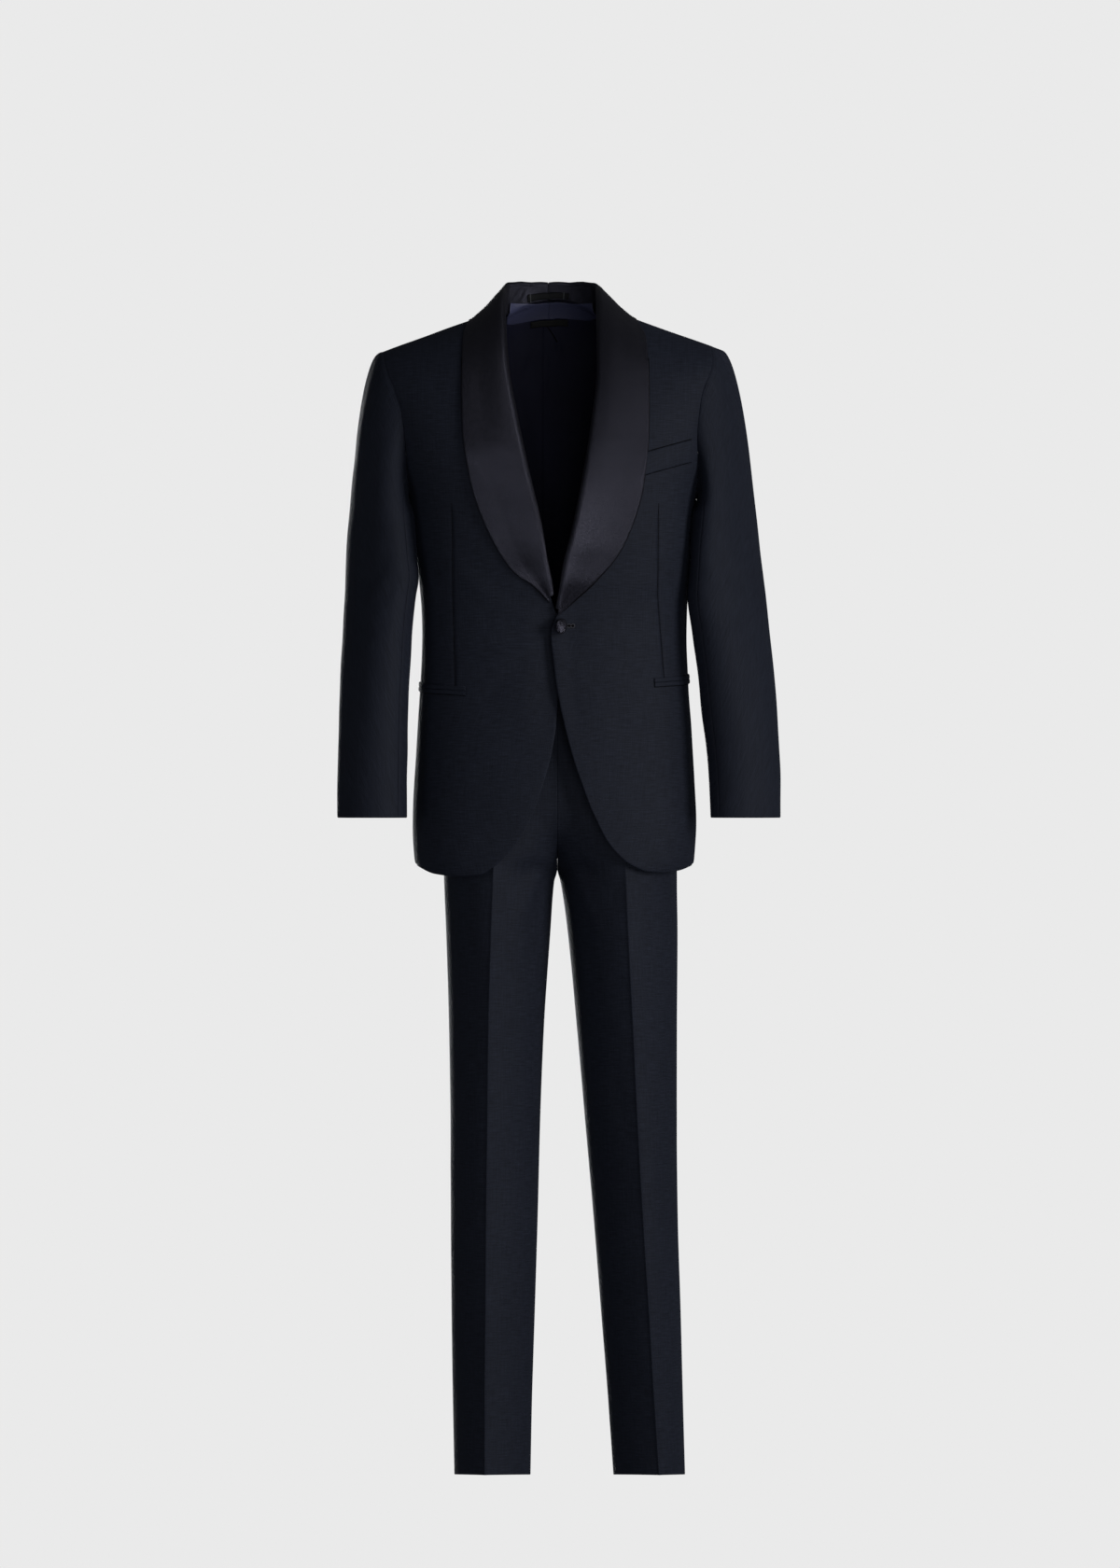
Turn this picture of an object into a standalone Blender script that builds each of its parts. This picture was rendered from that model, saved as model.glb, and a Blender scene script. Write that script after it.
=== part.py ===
"""A shawl-collared dinner suit: a one-button jacket over pleat-free trousers, filled out as if worn.

Every panel is a wall of cloth lofted through sections. Metres, +Z up. The suit faces -Y, so +X is
the wearer's left. The origin lies between the shoulders, at the height where the shoulder seams
meet the collar. SIDES names the wearer's right (-1) and left (+1). A level is a depth below the
ridge of the shoulders, and the jacket's surface is read through its square root, which makes the
top of the shoulders a round arch.
"""

from collections import namedtuple
from math import pi

import bpy
import numpy as np
from mathutils import Matrix, Vector

# Cloth and seams
JACKET_WALL = 0.0020
SLEEVE_WALL = 0.0016
COLLAR_WALL = 0.0020
TROUSER_WALL = 0.0013
WAISTBAND_WALL = 0.0030
LINING_WALL = 0.0010
FACING_WALL = 0.0012
HALF_SEAM = 0.00015
SEAM = 2 * HALF_SEAM

SIDES = {-1: "right", 1: "left"}

# Jacket body: the sections of the torso, from the ridge of the shoulders down
Section = namedtuple("Section", "level half_width front back middle corner slope shift")
TORSO = (
    Section(0.000, 0.2500, 0.0000, 0.0000, 0.004, 4.5, 0.360, -0.005),
    Section(0.012, 0.2450, 0.0345, 0.0360, 0.004, 4.3, 0.355, -0.005),
    Section(0.035, 0.2370, 0.0600, 0.0620, 0.004, 4.0, 0.340, -0.004),
    Section(0.070, 0.2270, 0.0840, 0.0860, 0.004, 3.4, 0.300, -0.004),
    Section(0.110, 0.2190, 0.1010, 0.1020, 0.003, 3.0, 0.240, -0.003),
    Section(0.150, 0.2120, 0.1140, 0.1100, 0.002, 2.7, 0.170, -0.003),
    Section(0.200, 0.2040, 0.1240, 0.1130, 0.000, 2.5, 0.080, -0.002),
    Section(0.250, 0.1920, 0.1280, 0.1120, 0.000, 2.4, 0.030, -0.002),
    Section(0.310, 0.1865, 0.1250, 0.1090, 0.000, 2.4, 0.010, -0.001),
    Section(0.360, 0.1815, 0.1170, 0.1040, 0.001, 2.4, 0.000, 0.000),
    Section(0.400, 0.1780, 0.1100, 0.1010, 0.003, 2.4, 0.000, 0.000),
    Section(0.440, 0.1770, 0.1070, 0.1010, 0.004, 2.4, 0.000, 0.000),
    Section(0.500, 0.1795, 0.1100, 0.1070, 0.005, 2.4, 0.000, 0.000),
    Section(0.560, 0.1835, 0.1170, 0.1170, 0.005, 2.4, 0.000, 0.000),
    Section(0.630, 0.1875, 0.1240, 0.1280, 0.005, 2.4, 0.000, 0.000),
    Section(0.690, 0.1900, 0.1280, 0.1340, 0.005, 2.4, 0.000, 0.000),
    Section(0.735, 0.1875, 0.1280, 0.1350, 0.005, 2.4, 0.000, 0.000),
    Section(0.760, 0.1790, 0.1260, 0.1340, 0.005, 2.4, 0.000, 0.000),
)
NECK_POINT = 0.075  # from the middle to where the shoulder starts to slope
SHOULDER_REACH = 0.225
NAPE_RISE = 0.0485  # how far the back of the neck stands above the plain arch
NAPE_HALF_WIDTH = 0.13
NAPE_LEVEL = 0.033
NAPE_END = 0.15

# Armholes: an oval in the side view, read over the level
ARM_DEPTH = 0.250
ARM_REACH = {-1: (0.062, 0.064), 1: (0.066, 0.064)}  # to the front and to the back
SIDE_SEAM_REACH = (0.025, 0.045)

# Hems
SIDE_HEM = 0.742
BACK_HEM = 0.736

# The free edges of the fronts below the roll of the collar: how far across at each level
Edge = namedtuple("Edge", "level x")
FRONT_EDGE = {
    -1: (
        Edge(0.399, -0.0010),
        Edge(0.4065, 0.0015),
        Edge(0.414, 0.0110),
        Edge(0.424, 0.0190),
        Edge(0.455, 0.0185),
        Edge(0.504, 0.0085),
        Edge(0.530, 0.0045),
        Edge(0.560, 0.0020),
        Edge(0.598, -0.0045),
        Edge(0.635, -0.0150),
        Edge(0.673, -0.0275),
    ),
    1: (
        Edge(0.411, 0.0030),
        Edge(0.420, -0.0010),
        Edge(0.428, -0.0034),
        Edge(0.440, -0.0046),
        Edge(0.470, -0.0016),
        Edge(0.504, 0.0025),
        Edge(0.560, 0.0140),
        Edge(0.604, 0.0260),
        Edge(0.640, 0.0385),
        Edge(0.666, 0.0480),
    ),
}
# The rounded corners and hems that follow them: the level at each distance from the middle
Hem = namedtuple("Hem", "across level")
FRONT_HEM = {
    -1: (
        Hem(0.0275, 0.673),
        Hem(0.0420, 0.701),
        Hem(0.0610, 0.727),
        Hem(0.0800, 0.745),
        Hem(0.1000, 0.756),
        Hem(0.1300, 0.758),
        Hem(0.1600, 0.755),
        Hem(0.1900, 0.742),
    ),
    1: (
        Hem(0.0480, 0.666),
        Hem(0.0700, 0.710),
        Hem(0.0850, 0.729),
        Hem(0.1020, 0.743),
        Hem(0.1250, 0.752),
        Hem(0.1450, 0.753),
        Hem(0.1650, 0.751),
        Hem(0.1900, 0.742),
    ),
}
# The wearer's left front lies over the right one round the button
OVERLAP_LIFT = 0.0030
OVERLAP_ACROSS = (0.035, 0.120)
OVERLAP_TOP = (0.330, 0.372)
OVERLAP_FOOT = (0.545, 0.625)

# Shawl collar: each row runs from the roll or the foot of the stand to the outer edge. A level
# counts as negative behind the ridge of the shoulders. The edge inside the jacket lies under the
# front, and sunk below its outer face.
Station = namedtuple("Station", "base_x base_level edge_x edge_level stand radius height under sunk")
COLLAR = {
    -1: (
        Station(-0.0055, 0.3850, -0.0070, 0.3940, 0.000, 0.0055, 0.0056, 0.003, 0.0060),
        Station(-0.0090, 0.3660, -0.0280, 0.3720, 0.000, 0.0062, 0.0068, 0.006, 0.0061),
        Station(-0.0150, 0.3400, -0.0530, 0.3540, 0.000, 0.0067, 0.0080, 0.009, 0.0058),
        Station(-0.0230, 0.2920, -0.0830, 0.3080, 0.000, 0.0067, 0.0080, 0.010, 0.0058),
        Station(-0.0410, 0.2150, -0.1095, 0.2340, 0.000, 0.0067, 0.0080, 0.010, 0.0058),
        Station(-0.0560, 0.1430, -0.1210, 0.1540, 0.000, 0.0067, 0.0080, 0.010, 0.0058),
        Station(-0.0665, 0.0850, -0.1230, 0.0830, 0.000, 0.0069, 0.0080, 0.008, 0.0060),
        Station(-0.0720, 0.0340, -0.1220, 0.0250, 0.006, 0.0070, 0.0078, 0.000, 0.0068),
        Station(-0.0745, 0.0060, -0.1160, 0.0030, 0.015, 0.0058, 0.0073, 0.000, 0.0036),
        Station(-0.0740, -0.0020, -0.1120, -0.0060, 0.0245, 0.0046, 0.0066, 0.000, 0.0012),
        Station(-0.0680, -0.0120, -0.1020, -0.0270, 0.0335, 0.0036, 0.0061, 0.000, 0.0000),
        Station(-0.0520, -0.0230, -0.0800, -0.0470, 0.0285, 0.0035, 0.0060, 0.000, 0.0000),
        Station(-0.0300, -0.0300, -0.0450, -0.0550, 0.0215, 0.0035, 0.0060, 0.000, 0.0000),
        Station(-0.0081, -0.0330, -0.0081, -0.0570, 0.0190, 0.0035, 0.0060, 0.000, 0.0000),
    ),
    1: (
        Station(0.0060, 0.4030, 0.0050, 0.4120, 0.000, 0.0055, 0.0056, 0.003, 0.0060),
        Station(0.0118, 0.3790, 0.0290, 0.3885, 0.000, 0.0062, 0.0068, 0.006, 0.0061),
        Station(0.0175, 0.3450, 0.0560, 0.3630, 0.000, 0.0067, 0.0080, 0.009, 0.0058),
        Station(0.0290, 0.3000, 0.0890, 0.3225, 0.000, 0.0067, 0.0080, 0.010, 0.0058),
        Station(0.0445, 0.2220, 0.1170, 0.2380, 0.000, 0.0067, 0.0080, 0.010, 0.0058),
        Station(0.0560, 0.1500, 0.1245, 0.1600, 0.000, 0.0067, 0.0080, 0.010, 0.0058),
        Station(0.0630, 0.0880, 0.1255, 0.0850, 0.000, 0.0069, 0.0080, 0.008, 0.0060),
        Station(0.0640, 0.0340, 0.1225, 0.0250, 0.006, 0.0070, 0.0078, 0.000, 0.0068),
        Station(0.0655, 0.0060, 0.1110, 0.0030, 0.015, 0.0058, 0.0073, 0.000, 0.0036),
        Station(0.0660, -0.0020, 0.1060, -0.0060, 0.0248, 0.0046, 0.0066, 0.000, 0.0012),
        Station(0.0600, -0.0120, 0.0950, -0.0270, 0.0315, 0.0036, 0.0061, 0.000, 0.0000),
        Station(0.0430, -0.0240, 0.0720, -0.0470, 0.0265, 0.0035, 0.0060, 0.000, 0.0000),
        Station(0.0180, -0.0310, 0.0360, -0.0550, 0.0192, 0.0035, 0.0060, 0.000, 0.0000),
        Station(-0.0075, -0.0330, -0.0075, -0.0570, 0.0190, 0.0035, 0.0060, 0.000, 0.0000),
    ),
}
COLLAR_CLEARANCE = 0.0021  # between the body and the underside of the collar
STAND_LEAN = 0.12
STAND_INSET = 0.0042  # from the edge of the neckline to the neck side of the stand
STAND_START = 0.010  # the stand that has its whole inset
NECK_SEAM = -0.0078  # where the two halves of the collar meet at the back
NECK_CENTRE = 0.030

# Sleeves: sections from the armpit to the cuff, as distances from the middle of the suit
Sleeve = namedtuple("Sleeve", "level outer inner middle half_depth skew")
SLEEVES = {
    -1: (
        Sleeve(0.275, 0.2755, 0.1905, 0.000, 0.076, 20),
        Sleeve(0.320, 0.2790, 0.1855, -0.003, 0.074, 22),
        Sleeve(0.360, 0.2805, 0.1815, -0.006, 0.071, 24),
        Sleeve(0.385, 0.2815, 0.1850, -0.008, 0.070, 22),
        Sleeve(0.435, 0.2840, 0.1900, -0.012, 0.067, 18),
        Sleeve(0.485, 0.2862, 0.1925, -0.018, 0.063, 16),
        Sleeve(0.535, 0.2880, 0.1950, -0.025, 0.059, 14),
        Sleeve(0.585, 0.2892, 0.1960, -0.033, 0.055, 12),
        Sleeve(0.635, 0.2900, 0.1962, -0.041, 0.051, 11),
        Sleeve(0.680, 0.2900, 0.1962, -0.048, 0.048, 10),
    ),
    1: (
        Sleeve(0.275, 0.2715, 0.1880, 0.000, 0.076, 32),
        Sleeve(0.320, 0.2760, 0.1830, -0.004, 0.075, 30),
        Sleeve(0.360, 0.2810, 0.1795, -0.008, 0.072, 28),
        Sleeve(0.385, 0.2840, 0.1775, -0.010, 0.071, 26),
        Sleeve(0.435, 0.2890, 0.1840, -0.015, 0.068, 20),
        Sleeve(0.485, 0.2940, 0.1910, -0.021, 0.064, 16),
        Sleeve(0.535, 0.2980, 0.1960, -0.028, 0.060, 14),
        Sleeve(0.585, 0.3005, 0.2020, -0.036, 0.056, 12),
        Sleeve(0.635, 0.3020, 0.2065, -0.044, 0.052, 11),
        Sleeve(0.680, 0.3020, 0.2082, -0.050, 0.048, 10),
    ),
}
SLEEVE_GAP = 0.0005
CAP_PUSH = 0.070  # how far the sleeve head carries on outwards before it turns down
CAP_FALL = 1.12
# Degrees round the sleeve from its outer line, by the front, with a seam at each end
TOP_ANGLES = (-110, -107, -88, -68, -48, -28, -13, 0, 13, 28, 48, 68, 90, 113, 137, 140)
UNDER_ANGLES = (140, 143, 169, 195, 221, 247, 250)
SEAM_ANGLE = 0.18

# Neck interior
NECK_SIDE = {-1: -0.0660, 1: 0.0580}
FACING_START = 0.0004
FACING_DEPTH = 0.026
LINING_GAP = 0.0024
PLEAT_LAP = 0.0014
LINING_LENGTH = 0.450
LINING_HALF_WIDTH = 0.100
PLEAT_OVERLAP = 0.008
PLEAT_FADE = 0.014
LABEL = (-0.0330, 0.0190, 0.0100)  # from, to, height
LABEL_START = FACING_DEPTH + 0.0005
LOOP = (-0.0390, 0.0220, 0.0080)
LOOP_WALL = 0.0010
LOOP_ABOVE = 0.002
LOOP_SLACK = 0.0016

# Pockets and button
WELT = (0.1245, 0.182)
WELT_FOOT = 0.206
WELT_RISE = 0.30
WELT_HEIGHT = 0.0295
WELT_WALL = 0.0010
WELT_GAP = 0.0007
JET_HEIGHT = 0.0060
JET_WALL = 0.0010
JET_GAP = 0.0007
POCKET = {-1: (0.118, 0.5175), 1: (0.133, 0.5060)}  # its inner end, and the level of its foot there
POCKET_LENGTH = 0.145
POCKET_RISE = 0.06
BUTTON_AT = (0.0080, 0.4247)
BUTTON_TURN = 38  # degrees towards the wearer's left, as it hangs on its threads
BUTTON_RADIUS = 0.0104
BUTTON_HEIGHT = 0.0046
BUTTON_PROFILE = (
    (0.0, 0.0),
    (0.0086, 0.0),
    (0.0100, 0.0006),
    (BUTTON_RADIUS, 0.0017),
    (0.0100, 0.0029),
    (0.0084, 0.0038),
    (0.0054, 0.0044),
    (0.0, BUTTON_HEIGHT),
)
BUTTON_GAP = 0.0069  # the length of its thread shank: one rim all but touches the front

# Trousers: sections from the waist to the hem. The rise is where front and back meet the middle
# seam, and below the fork where they meet the inseam.
FORK = 0.750
WAIST_TOP = 0.478
WAIST_FOOT = 0.516
Leg = namedtuple("Leg", "level outer crease inner")
LEGS = {
    -1: (
        Leg(0.478, -0.1410, -0.0760, 0.0040),
        Leg(0.550, -0.1460, -0.0780, 0.0040),
        Leg(0.620, -0.1490, -0.0795, 0.0040),
        Leg(0.700, -0.1495, -0.0805, 0.0040),
        Leg(0.750, -0.1482, -0.0810, 0.0040),
        Leg(0.765, -0.1478, -0.0815, -0.0002),
        Leg(0.835, -0.1450, -0.0840, -0.0055),
        Leg(0.960, -0.1412, -0.0875, -0.0140),
        Leg(1.085, -0.1392, -0.0890, -0.0190),
        Leg(1.210, -0.1388, -0.0906, -0.0222),
        Leg(1.335, -0.1378, -0.0915, -0.0260),
        Leg(1.460, -0.1360, -0.0925, -0.0300),
        Leg(1.560, -0.1340, -0.0925, -0.0320),
    ),
    1: (
        Leg(0.478, 0.1490, 0.0840, 0.0040),
        Leg(0.550, 0.1570, 0.0880, 0.0040),
        Leg(0.620, 0.1625, 0.0915, 0.0040),
        Leg(0.700, 0.1645, 0.0940, 0.0040),
        Leg(0.750, 0.1642, 0.0950, 0.0040),
        Leg(0.765, 0.1642, 0.0955, 0.0080),
        Leg(0.835, 0.1650, 0.0985, 0.0180),
        Leg(0.960, 0.1642, 0.1050, 0.0300),
        Leg(1.085, 0.1640, 0.1110, 0.0410),
        Leg(1.210, 0.1652, 0.1180, 0.0520),
        Leg(1.335, 0.1690, 0.1260, 0.0620),
        Leg(1.460, 0.1722, 0.1335, 0.0720),
        Leg(1.560, 0.1750, 0.1400, 0.0790),
    ),
}
Depth = namedtuple("Depth", "level front back sharpness")
LEG_DEPTH = (
    Depth(0.478, -0.0800, 0.0780, 0.05),
    Depth(0.550, -0.0860, 0.0920, 0.12),
    Depth(0.620, -0.0930, 0.1070, 0.22),
    Depth(0.700, -0.0980, 0.1130, 0.38),
    Depth(0.765, -0.0995, 0.1100, 0.50),
    Depth(0.835, -0.0985, 0.1030, 0.58),
    Depth(0.960, -0.0940, 0.0930, 0.66),
    Depth(1.085, -0.0890, 0.0840, 0.72),
    Depth(1.210, -0.0840, 0.0790, 0.76),
    Depth(1.335, -0.0800, 0.0770, 0.78),
    Depth(1.560, -0.0770, 0.0750, 0.80),
)
Rise = namedtuple("Rise", "level front back")
RISE = (
    Rise(0.478, -0.0830, 0.0760),
    Rise(0.550, -0.0890, 0.0890),
    Rise(0.620, -0.0940, 0.1010),
    Rise(0.665, -0.0930, 0.1000),
    Rise(0.695, -0.0840, 0.0910),
    Rise(0.718, -0.0630, 0.0720),
    Rise(0.737, -0.0310, 0.0440),
    Rise(0.750, 0.0100, 0.0100),
    Rise(0.835, 0.0080, 0.0080),
    Rise(1.560, 0.0000, 0.0000),
)
OUTSEAM_DEPTH = 0.004
ROUNDING_START = 0.660
FORK_GAP = 0.0004  # added to the seams where the four panels meet
FORK_GAP_END = 0.150

# Rows and columns of the panels
SHOULDER_ROWS = (0.001, 0.02, 0.07, 0.14, 0.23, 0.33, 0.44, 0.55, 0.66, 0.78, 0.90, 1.0)
BODY_ROWS = (0.06, 0.13, 0.21, 0.29, 0.37, 0.45, 0.53, 0.61, 0.69, 0.77, 0.85, 0.93, 1.0)
FRONT_COLUMNS = (0.0, 0.05, 0.14, 0.25, 0.36, 0.47, 0.58, 0.70, 0.82, 0.965, 1.0)
BACK_COLUMNS = (1.0, 0.965, 0.84, 0.70, 0.57, 0.45, 0.335, 0.31, 0.275, 0.225, 0.16, 0.09, 0.03, 0.0)
SIDE_COLUMNS = (0.0, 0.06, 0.35, 0.65, 0.94, 1.0)
CAP_ROWS = (0.0, 0.03, 0.10, 0.20, 0.32, 0.45, 0.60, 0.80, 1.0)
ARM_ROWS = (1.11, 1.24, 1.38, 1.53, 1.70, 1.86, 2.0)
COLLAR_STATIONS = (*np.linspace(0, 0.74, 18), *np.linspace(0.77, 0.985, 9), 1.0)
COLLAR_ACROSS = (0, 0.15, 0.35, 0.55, 0.75, 0.9, 1, 1.25, 1.5, 1.75, 2, 2.5, 3)
LEG_COLUMNS = (-1.0, -0.91, -0.67, -0.40, -0.16, 0.0, 0.16, 0.40, 0.67, 0.91, 1.0)
LEG_LEVELS = (0.5163, 0.555, 0.605, 0.650, 0.682, 0.706, 0.725, 0.740, 0.750, 0.768, 0.800)
LEG_LEVELS += (0.870, 0.970, 1.090, 1.210, 1.330, 1.450, 1.560)


def clear_scene():
    for item in list(bpy.data.objects):
        bpy.data.objects.remove(item, do_unlink=True)


def material(name, colour, roughness, metallic=0.0):
    made = bpy.data.materials.new(name)
    made.use_nodes = True
    shader = made.node_tree.nodes["Principled BSDF"]
    shader.inputs["Base Color"].default_value = (*colour, 1.0)
    shader.inputs["Roughness"].default_value = roughness
    shader.inputs["Metallic"].default_value = metallic
    made.diffuse_color = (*colour, 1.0)
    return made


def spline(keys, values, at):
    """Reads a smooth curve through the keys, which never overshoots them."""
    keys, values = np.asarray(keys, float), np.asarray(values, float)
    steps = np.diff(keys)
    rates = np.diff(values) / steps
    slopes = np.concatenate([rates[:1], np.zeros(len(keys) - 2), rates[-1:]])
    same_way = rates[:-1] * rates[1:] > 0
    total = np.where(same_way, rates[:-1] + rates[1:], 1.0)
    slopes[1:-1] = np.where(same_way, 2 * rates[:-1] * rates[1:] / total, 0.0)
    span = np.clip(np.searchsorted(keys, at) - 1, 0, len(keys) - 2)
    t = np.clip((at - keys[span]) / steps[span], 0.0, 1.0)
    start, end = values[span], values[span + 1]
    lead = slopes[span] * steps[span]
    trail = slopes[span + 1] * steps[span]
    return (
        start * (1 + 2 * t) * (1 - t) ** 2
        + lead * t * (1 - t) ** 2
        + end * t * t * (3 - 2 * t)
        + trail * t * t * (t - 1)
    )


def column(rows, name):
    return [getattr(row, name) for row in rows]


def read(rows, name, at, key="level"):
    return spline(column(rows, key), column(rows, name), at)


def ease(value, start, end):
    """0 before start, 1 after end, and a smooth rise between them."""
    t = np.clip((value - start) / (end - start), 0.0, 1.0)
    return t * t * (3 - 2 * t)


def mix(a, b, share):
    return a + (b - a) * share


def stacked(x, y, z):
    return np.stack(np.broadcast_arrays(x, y, z), axis=-1)


def unit(vectors):
    return vectors / np.linalg.norm(vectors, axis=-1, keepdims=True)


ROOT_LEVELS = np.sqrt(column(TORSO, "level"))


def torso_value(name, root):
    return spline(ROOT_LEVELS, column(TORSO, name), np.abs(root))


def torso_height(x, root):
    """The height of a point of the torso, from its place across and the signed root of its level."""
    level = root * root
    beyond = np.abs(x) - NECK_POINT
    slope = torso_value("slope", root) * 0.5 * (beyond + np.sqrt(beyond**2 + 0.008**2))
    nape = np.clip(1 - (x / NAPE_HALF_WIDTH) ** 2, 0, None) ** 2
    nape = nape * ease(level, 0.0, NAPE_LEVEL) * (1 - ease(level, NAPE_LEVEL, NAPE_END))
    return -level - slope + NAPE_RISE * nape * (root < 0)


def torso_chart(x, root):
    """The torso over its place across and the root of its level: positive in front."""
    corner = torso_value("corner", root)
    share = np.abs(x - torso_value("shift", root)) / torso_value("half_width", root)
    swell = np.clip(1 - share**corner, 0.0, 1.0) ** (1 / corner)
    reach = np.where(root > 0, -torso_value("front", root), torso_value("back", root))
    return stacked(x, torso_value("middle", root) + reach * swell, torso_height(x, root))


def torso_ring(side, turn, root):
    """The torso over a turn, from 0 at the centre front to 1 at the centre back, on one side."""
    corner = torso_value("corner", root)
    sine, cosine = np.sin(pi * turn), np.cos(pi * turn)
    across = np.sign(sine) * np.abs(sine) ** (2 / corner)
    swell = np.abs(cosine) ** (2 / corner)
    x = torso_value("shift", root) + side * torso_value("half_width", root) * across
    reach = np.where(cosine > 0, -torso_value("front", root), torso_value("back", root))
    height = torso_height(x, np.where(cosine > 0, root, -root))
    return stacked(x, torso_value("middle", root) + reach * swell, height)


def moved_out(surface, u, v, distance, hand):
    """Points of a surface moved along its normal."""
    step = 1e-4
    across = surface(u + step, v) - surface(u - step, v)
    down = surface(u, v + step) - surface(u, v - step)
    normal = unit(np.cross(across, down)) * -hand
    return surface(u, v) + normal * np.asarray(distance)[..., None]


def overlap_lift(side, x, level):
    """How far the wearer's left front stands out where it lies over the right one."""
    if side < 0:
        return np.zeros(np.broadcast(x, level).shape)
    near = 1 - ease(x, *OVERLAP_ACROSS)
    return OVERLAP_LIFT * near * ease(level, *OVERLAP_TOP) * (1 - ease(level, *OVERLAP_FOOT))


def chart_point(side, x, root, distance):
    lift = overlap_lift(side, x, root * root) * (root > 0)
    return moved_out(torso_chart, x, root, distance + lift, 1)


def ring_point(side, turn, root, distance=0.0):
    x = torso_ring(side, turn, root)[..., 0]
    lift = overlap_lift(side, x, root * root) * (np.cos(pi * turn) > 0)
    return moved_out(lambda t, r: torso_ring(side, t, r), turn, root, distance + lift, side)


def turn_at(side, x, root):
    """The turn, in front, at a place across."""
    share = side * (x - torso_value("shift", root)) / torso_value("half_width", root)
    half = torso_value("corner", root) / 2
    return np.arcsin(np.sign(share) * np.clip(np.abs(share), 0, 1) ** half) / pi


def turn_reaching(reach, root, face):
    """The turn at which the torso reaches this far to the front (face 0) or back (face 1)."""
    depth = torso_value(("front", "back")[face], root)
    share = np.clip(reach / np.maximum(depth, 1e-6), 0, 1)
    turn = np.arccos(share ** (torso_value("corner", root) / 2)) / pi
    return 1 - turn if face else turn


def arm_reach(side, level, face):
    height = np.clip(1 - (1 - 2 * level / ARM_DEPTH) ** 2, 0, 1)
    return ARM_REACH[side][face] * np.sqrt(height)


def corner_root(side, face):
    """The root of the level where a side seam runs out into the armhole."""
    share = SIDE_SEAM_REACH[face] / ARM_REACH[side][face]
    return np.sqrt(ARM_DEPTH * 0.5 * (1 + np.sqrt(1 - share**2)))


def side_boundary(side, root, face, gap):
    """The turn of the armhole, and below it of the side seam, on the front or the back."""
    above = root < corner_root(side, face) - 1e-6
    seam = SIDE_SEAM_REACH[face] + gap
    reach = np.where(above, arm_reach(side, root * root, face), seam)
    return turn_reaching(reach, root, face)


def row_shares(side, face):
    """Rows down a front or back panel, as shares of the root of the hem's level."""
    corner = corner_root(side, face) / np.sqrt(SIDE_HEM)
    below = corner + (1 - corner) * np.array(BODY_ROWS)
    return np.concatenate([corner * np.array(SHOULDER_ROWS), below])


def panel(name, points, wall, cloth, flip=False):
    """A wall of cloth: an open surface through a grid of points, thickened inwards."""
    rows, columns = points.shape[:2]
    faces = []
    for row in range(rows - 1):
        for place in range(columns - 1):
            a = row * columns + place
            corners = (a, a + columns, a + columns + 1, a + 1)
            faces.append(corners[::-1] if flip else corners)
    mesh = bpy.data.meshes.new(name)
    mesh.from_pydata(points.reshape(-1, 3).tolist(), [], faces)
    mesh.materials.append(cloth)
    mesh.shade_smooth()
    made = bpy.data.objects.new(name, mesh)
    PARTS.objects.link(made)
    solidify = made.modifiers.new("wall", "SOLIDIFY")
    solidify.thickness = wall
    solidify.offset = -1
    return made


# Jacket body


def front_edge(side, level):
    """How far across a front reaches: along the roll of the collar, then its free edge."""
    roll = [Edge(row.base_level, row.base_x) for row in COLLAR[side] if row.base_level > 0.001]
    rows = [*roll[::-1], *FRONT_EDGE[side]]
    return read(rows, "x", level)


def front_hem(side, x):
    return read(FRONT_HEM[side], "level", side * x, key="across")


def front_panel(side, shares):
    """Points of a front: rows from the shoulder to the hem, columns from its edge to its side."""
    share = np.array(FRONT_COLUMNS)
    hem_root = np.full(len(share), np.sqrt(SIDE_HEM))
    edge_end = np.sqrt(FRONT_EDGE[side][-1].level)
    for _ in range(6):
        turn = mix(
            turn_at(side, FRONT_EDGE[side][-1].x, edge_end),
            side_boundary(side, hem_root, 0, HALF_SEAM),
            share,
        )
        hem_root = np.sqrt(front_hem(side, torso_ring(side, turn, hem_root)[..., 0]))
    root = shares[:, None] * hem_root[None, :]
    start = turn_at(side, front_edge(side, root * root), root)
    turn = mix(start, side_boundary(side, root, 0, HALF_SEAM), share[None, :])
    return ring_point(side, turn, root)


def neckline_root(side, x):
    """The signed root of the neckline's level behind the shoulders, at a place across."""
    rows = [row for row in COLLAR[side] if row.base_level < 0]
    signed = sorted((side * row.base_x, -np.sqrt(-row.base_level)) for row in rows)
    places, roots = zip(*signed, (NECK_POINT, 0.0))
    return spline(places, roots, side * x)


def back_panel(side, shares):
    """Points of a back: rows from the shoulder to the hem, columns from its side to the middle."""
    share = np.array(BACK_COLUMNS)
    hem_root = np.sqrt(mix(BACK_HEM, SIDE_HEM, share**2))
    top_x = side * mix(HALF_SEAM, SHOULDER_REACH, share)
    top_root = np.abs(neckline_root(side, top_x))
    top_turn = turn_at(side, top_x, np.maximum(top_root, 0.01))
    top_share = (top_turn - top_turn[-1]) / (top_turn[0] - top_turn[-1])
    root = top_root + (hem_root - top_root) * shares[:, None]
    place = mix(top_share[None, :], share[None, :], ease(shares, 0.0, 0.6)[:, None])
    middle = 1 - turn_at(side, side * HALF_SEAM + 0 * root, root)
    turn = mix(middle, side_boundary(side, root, 1, HALF_SEAM), place)
    return ring_point(side, turn, root)


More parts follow.
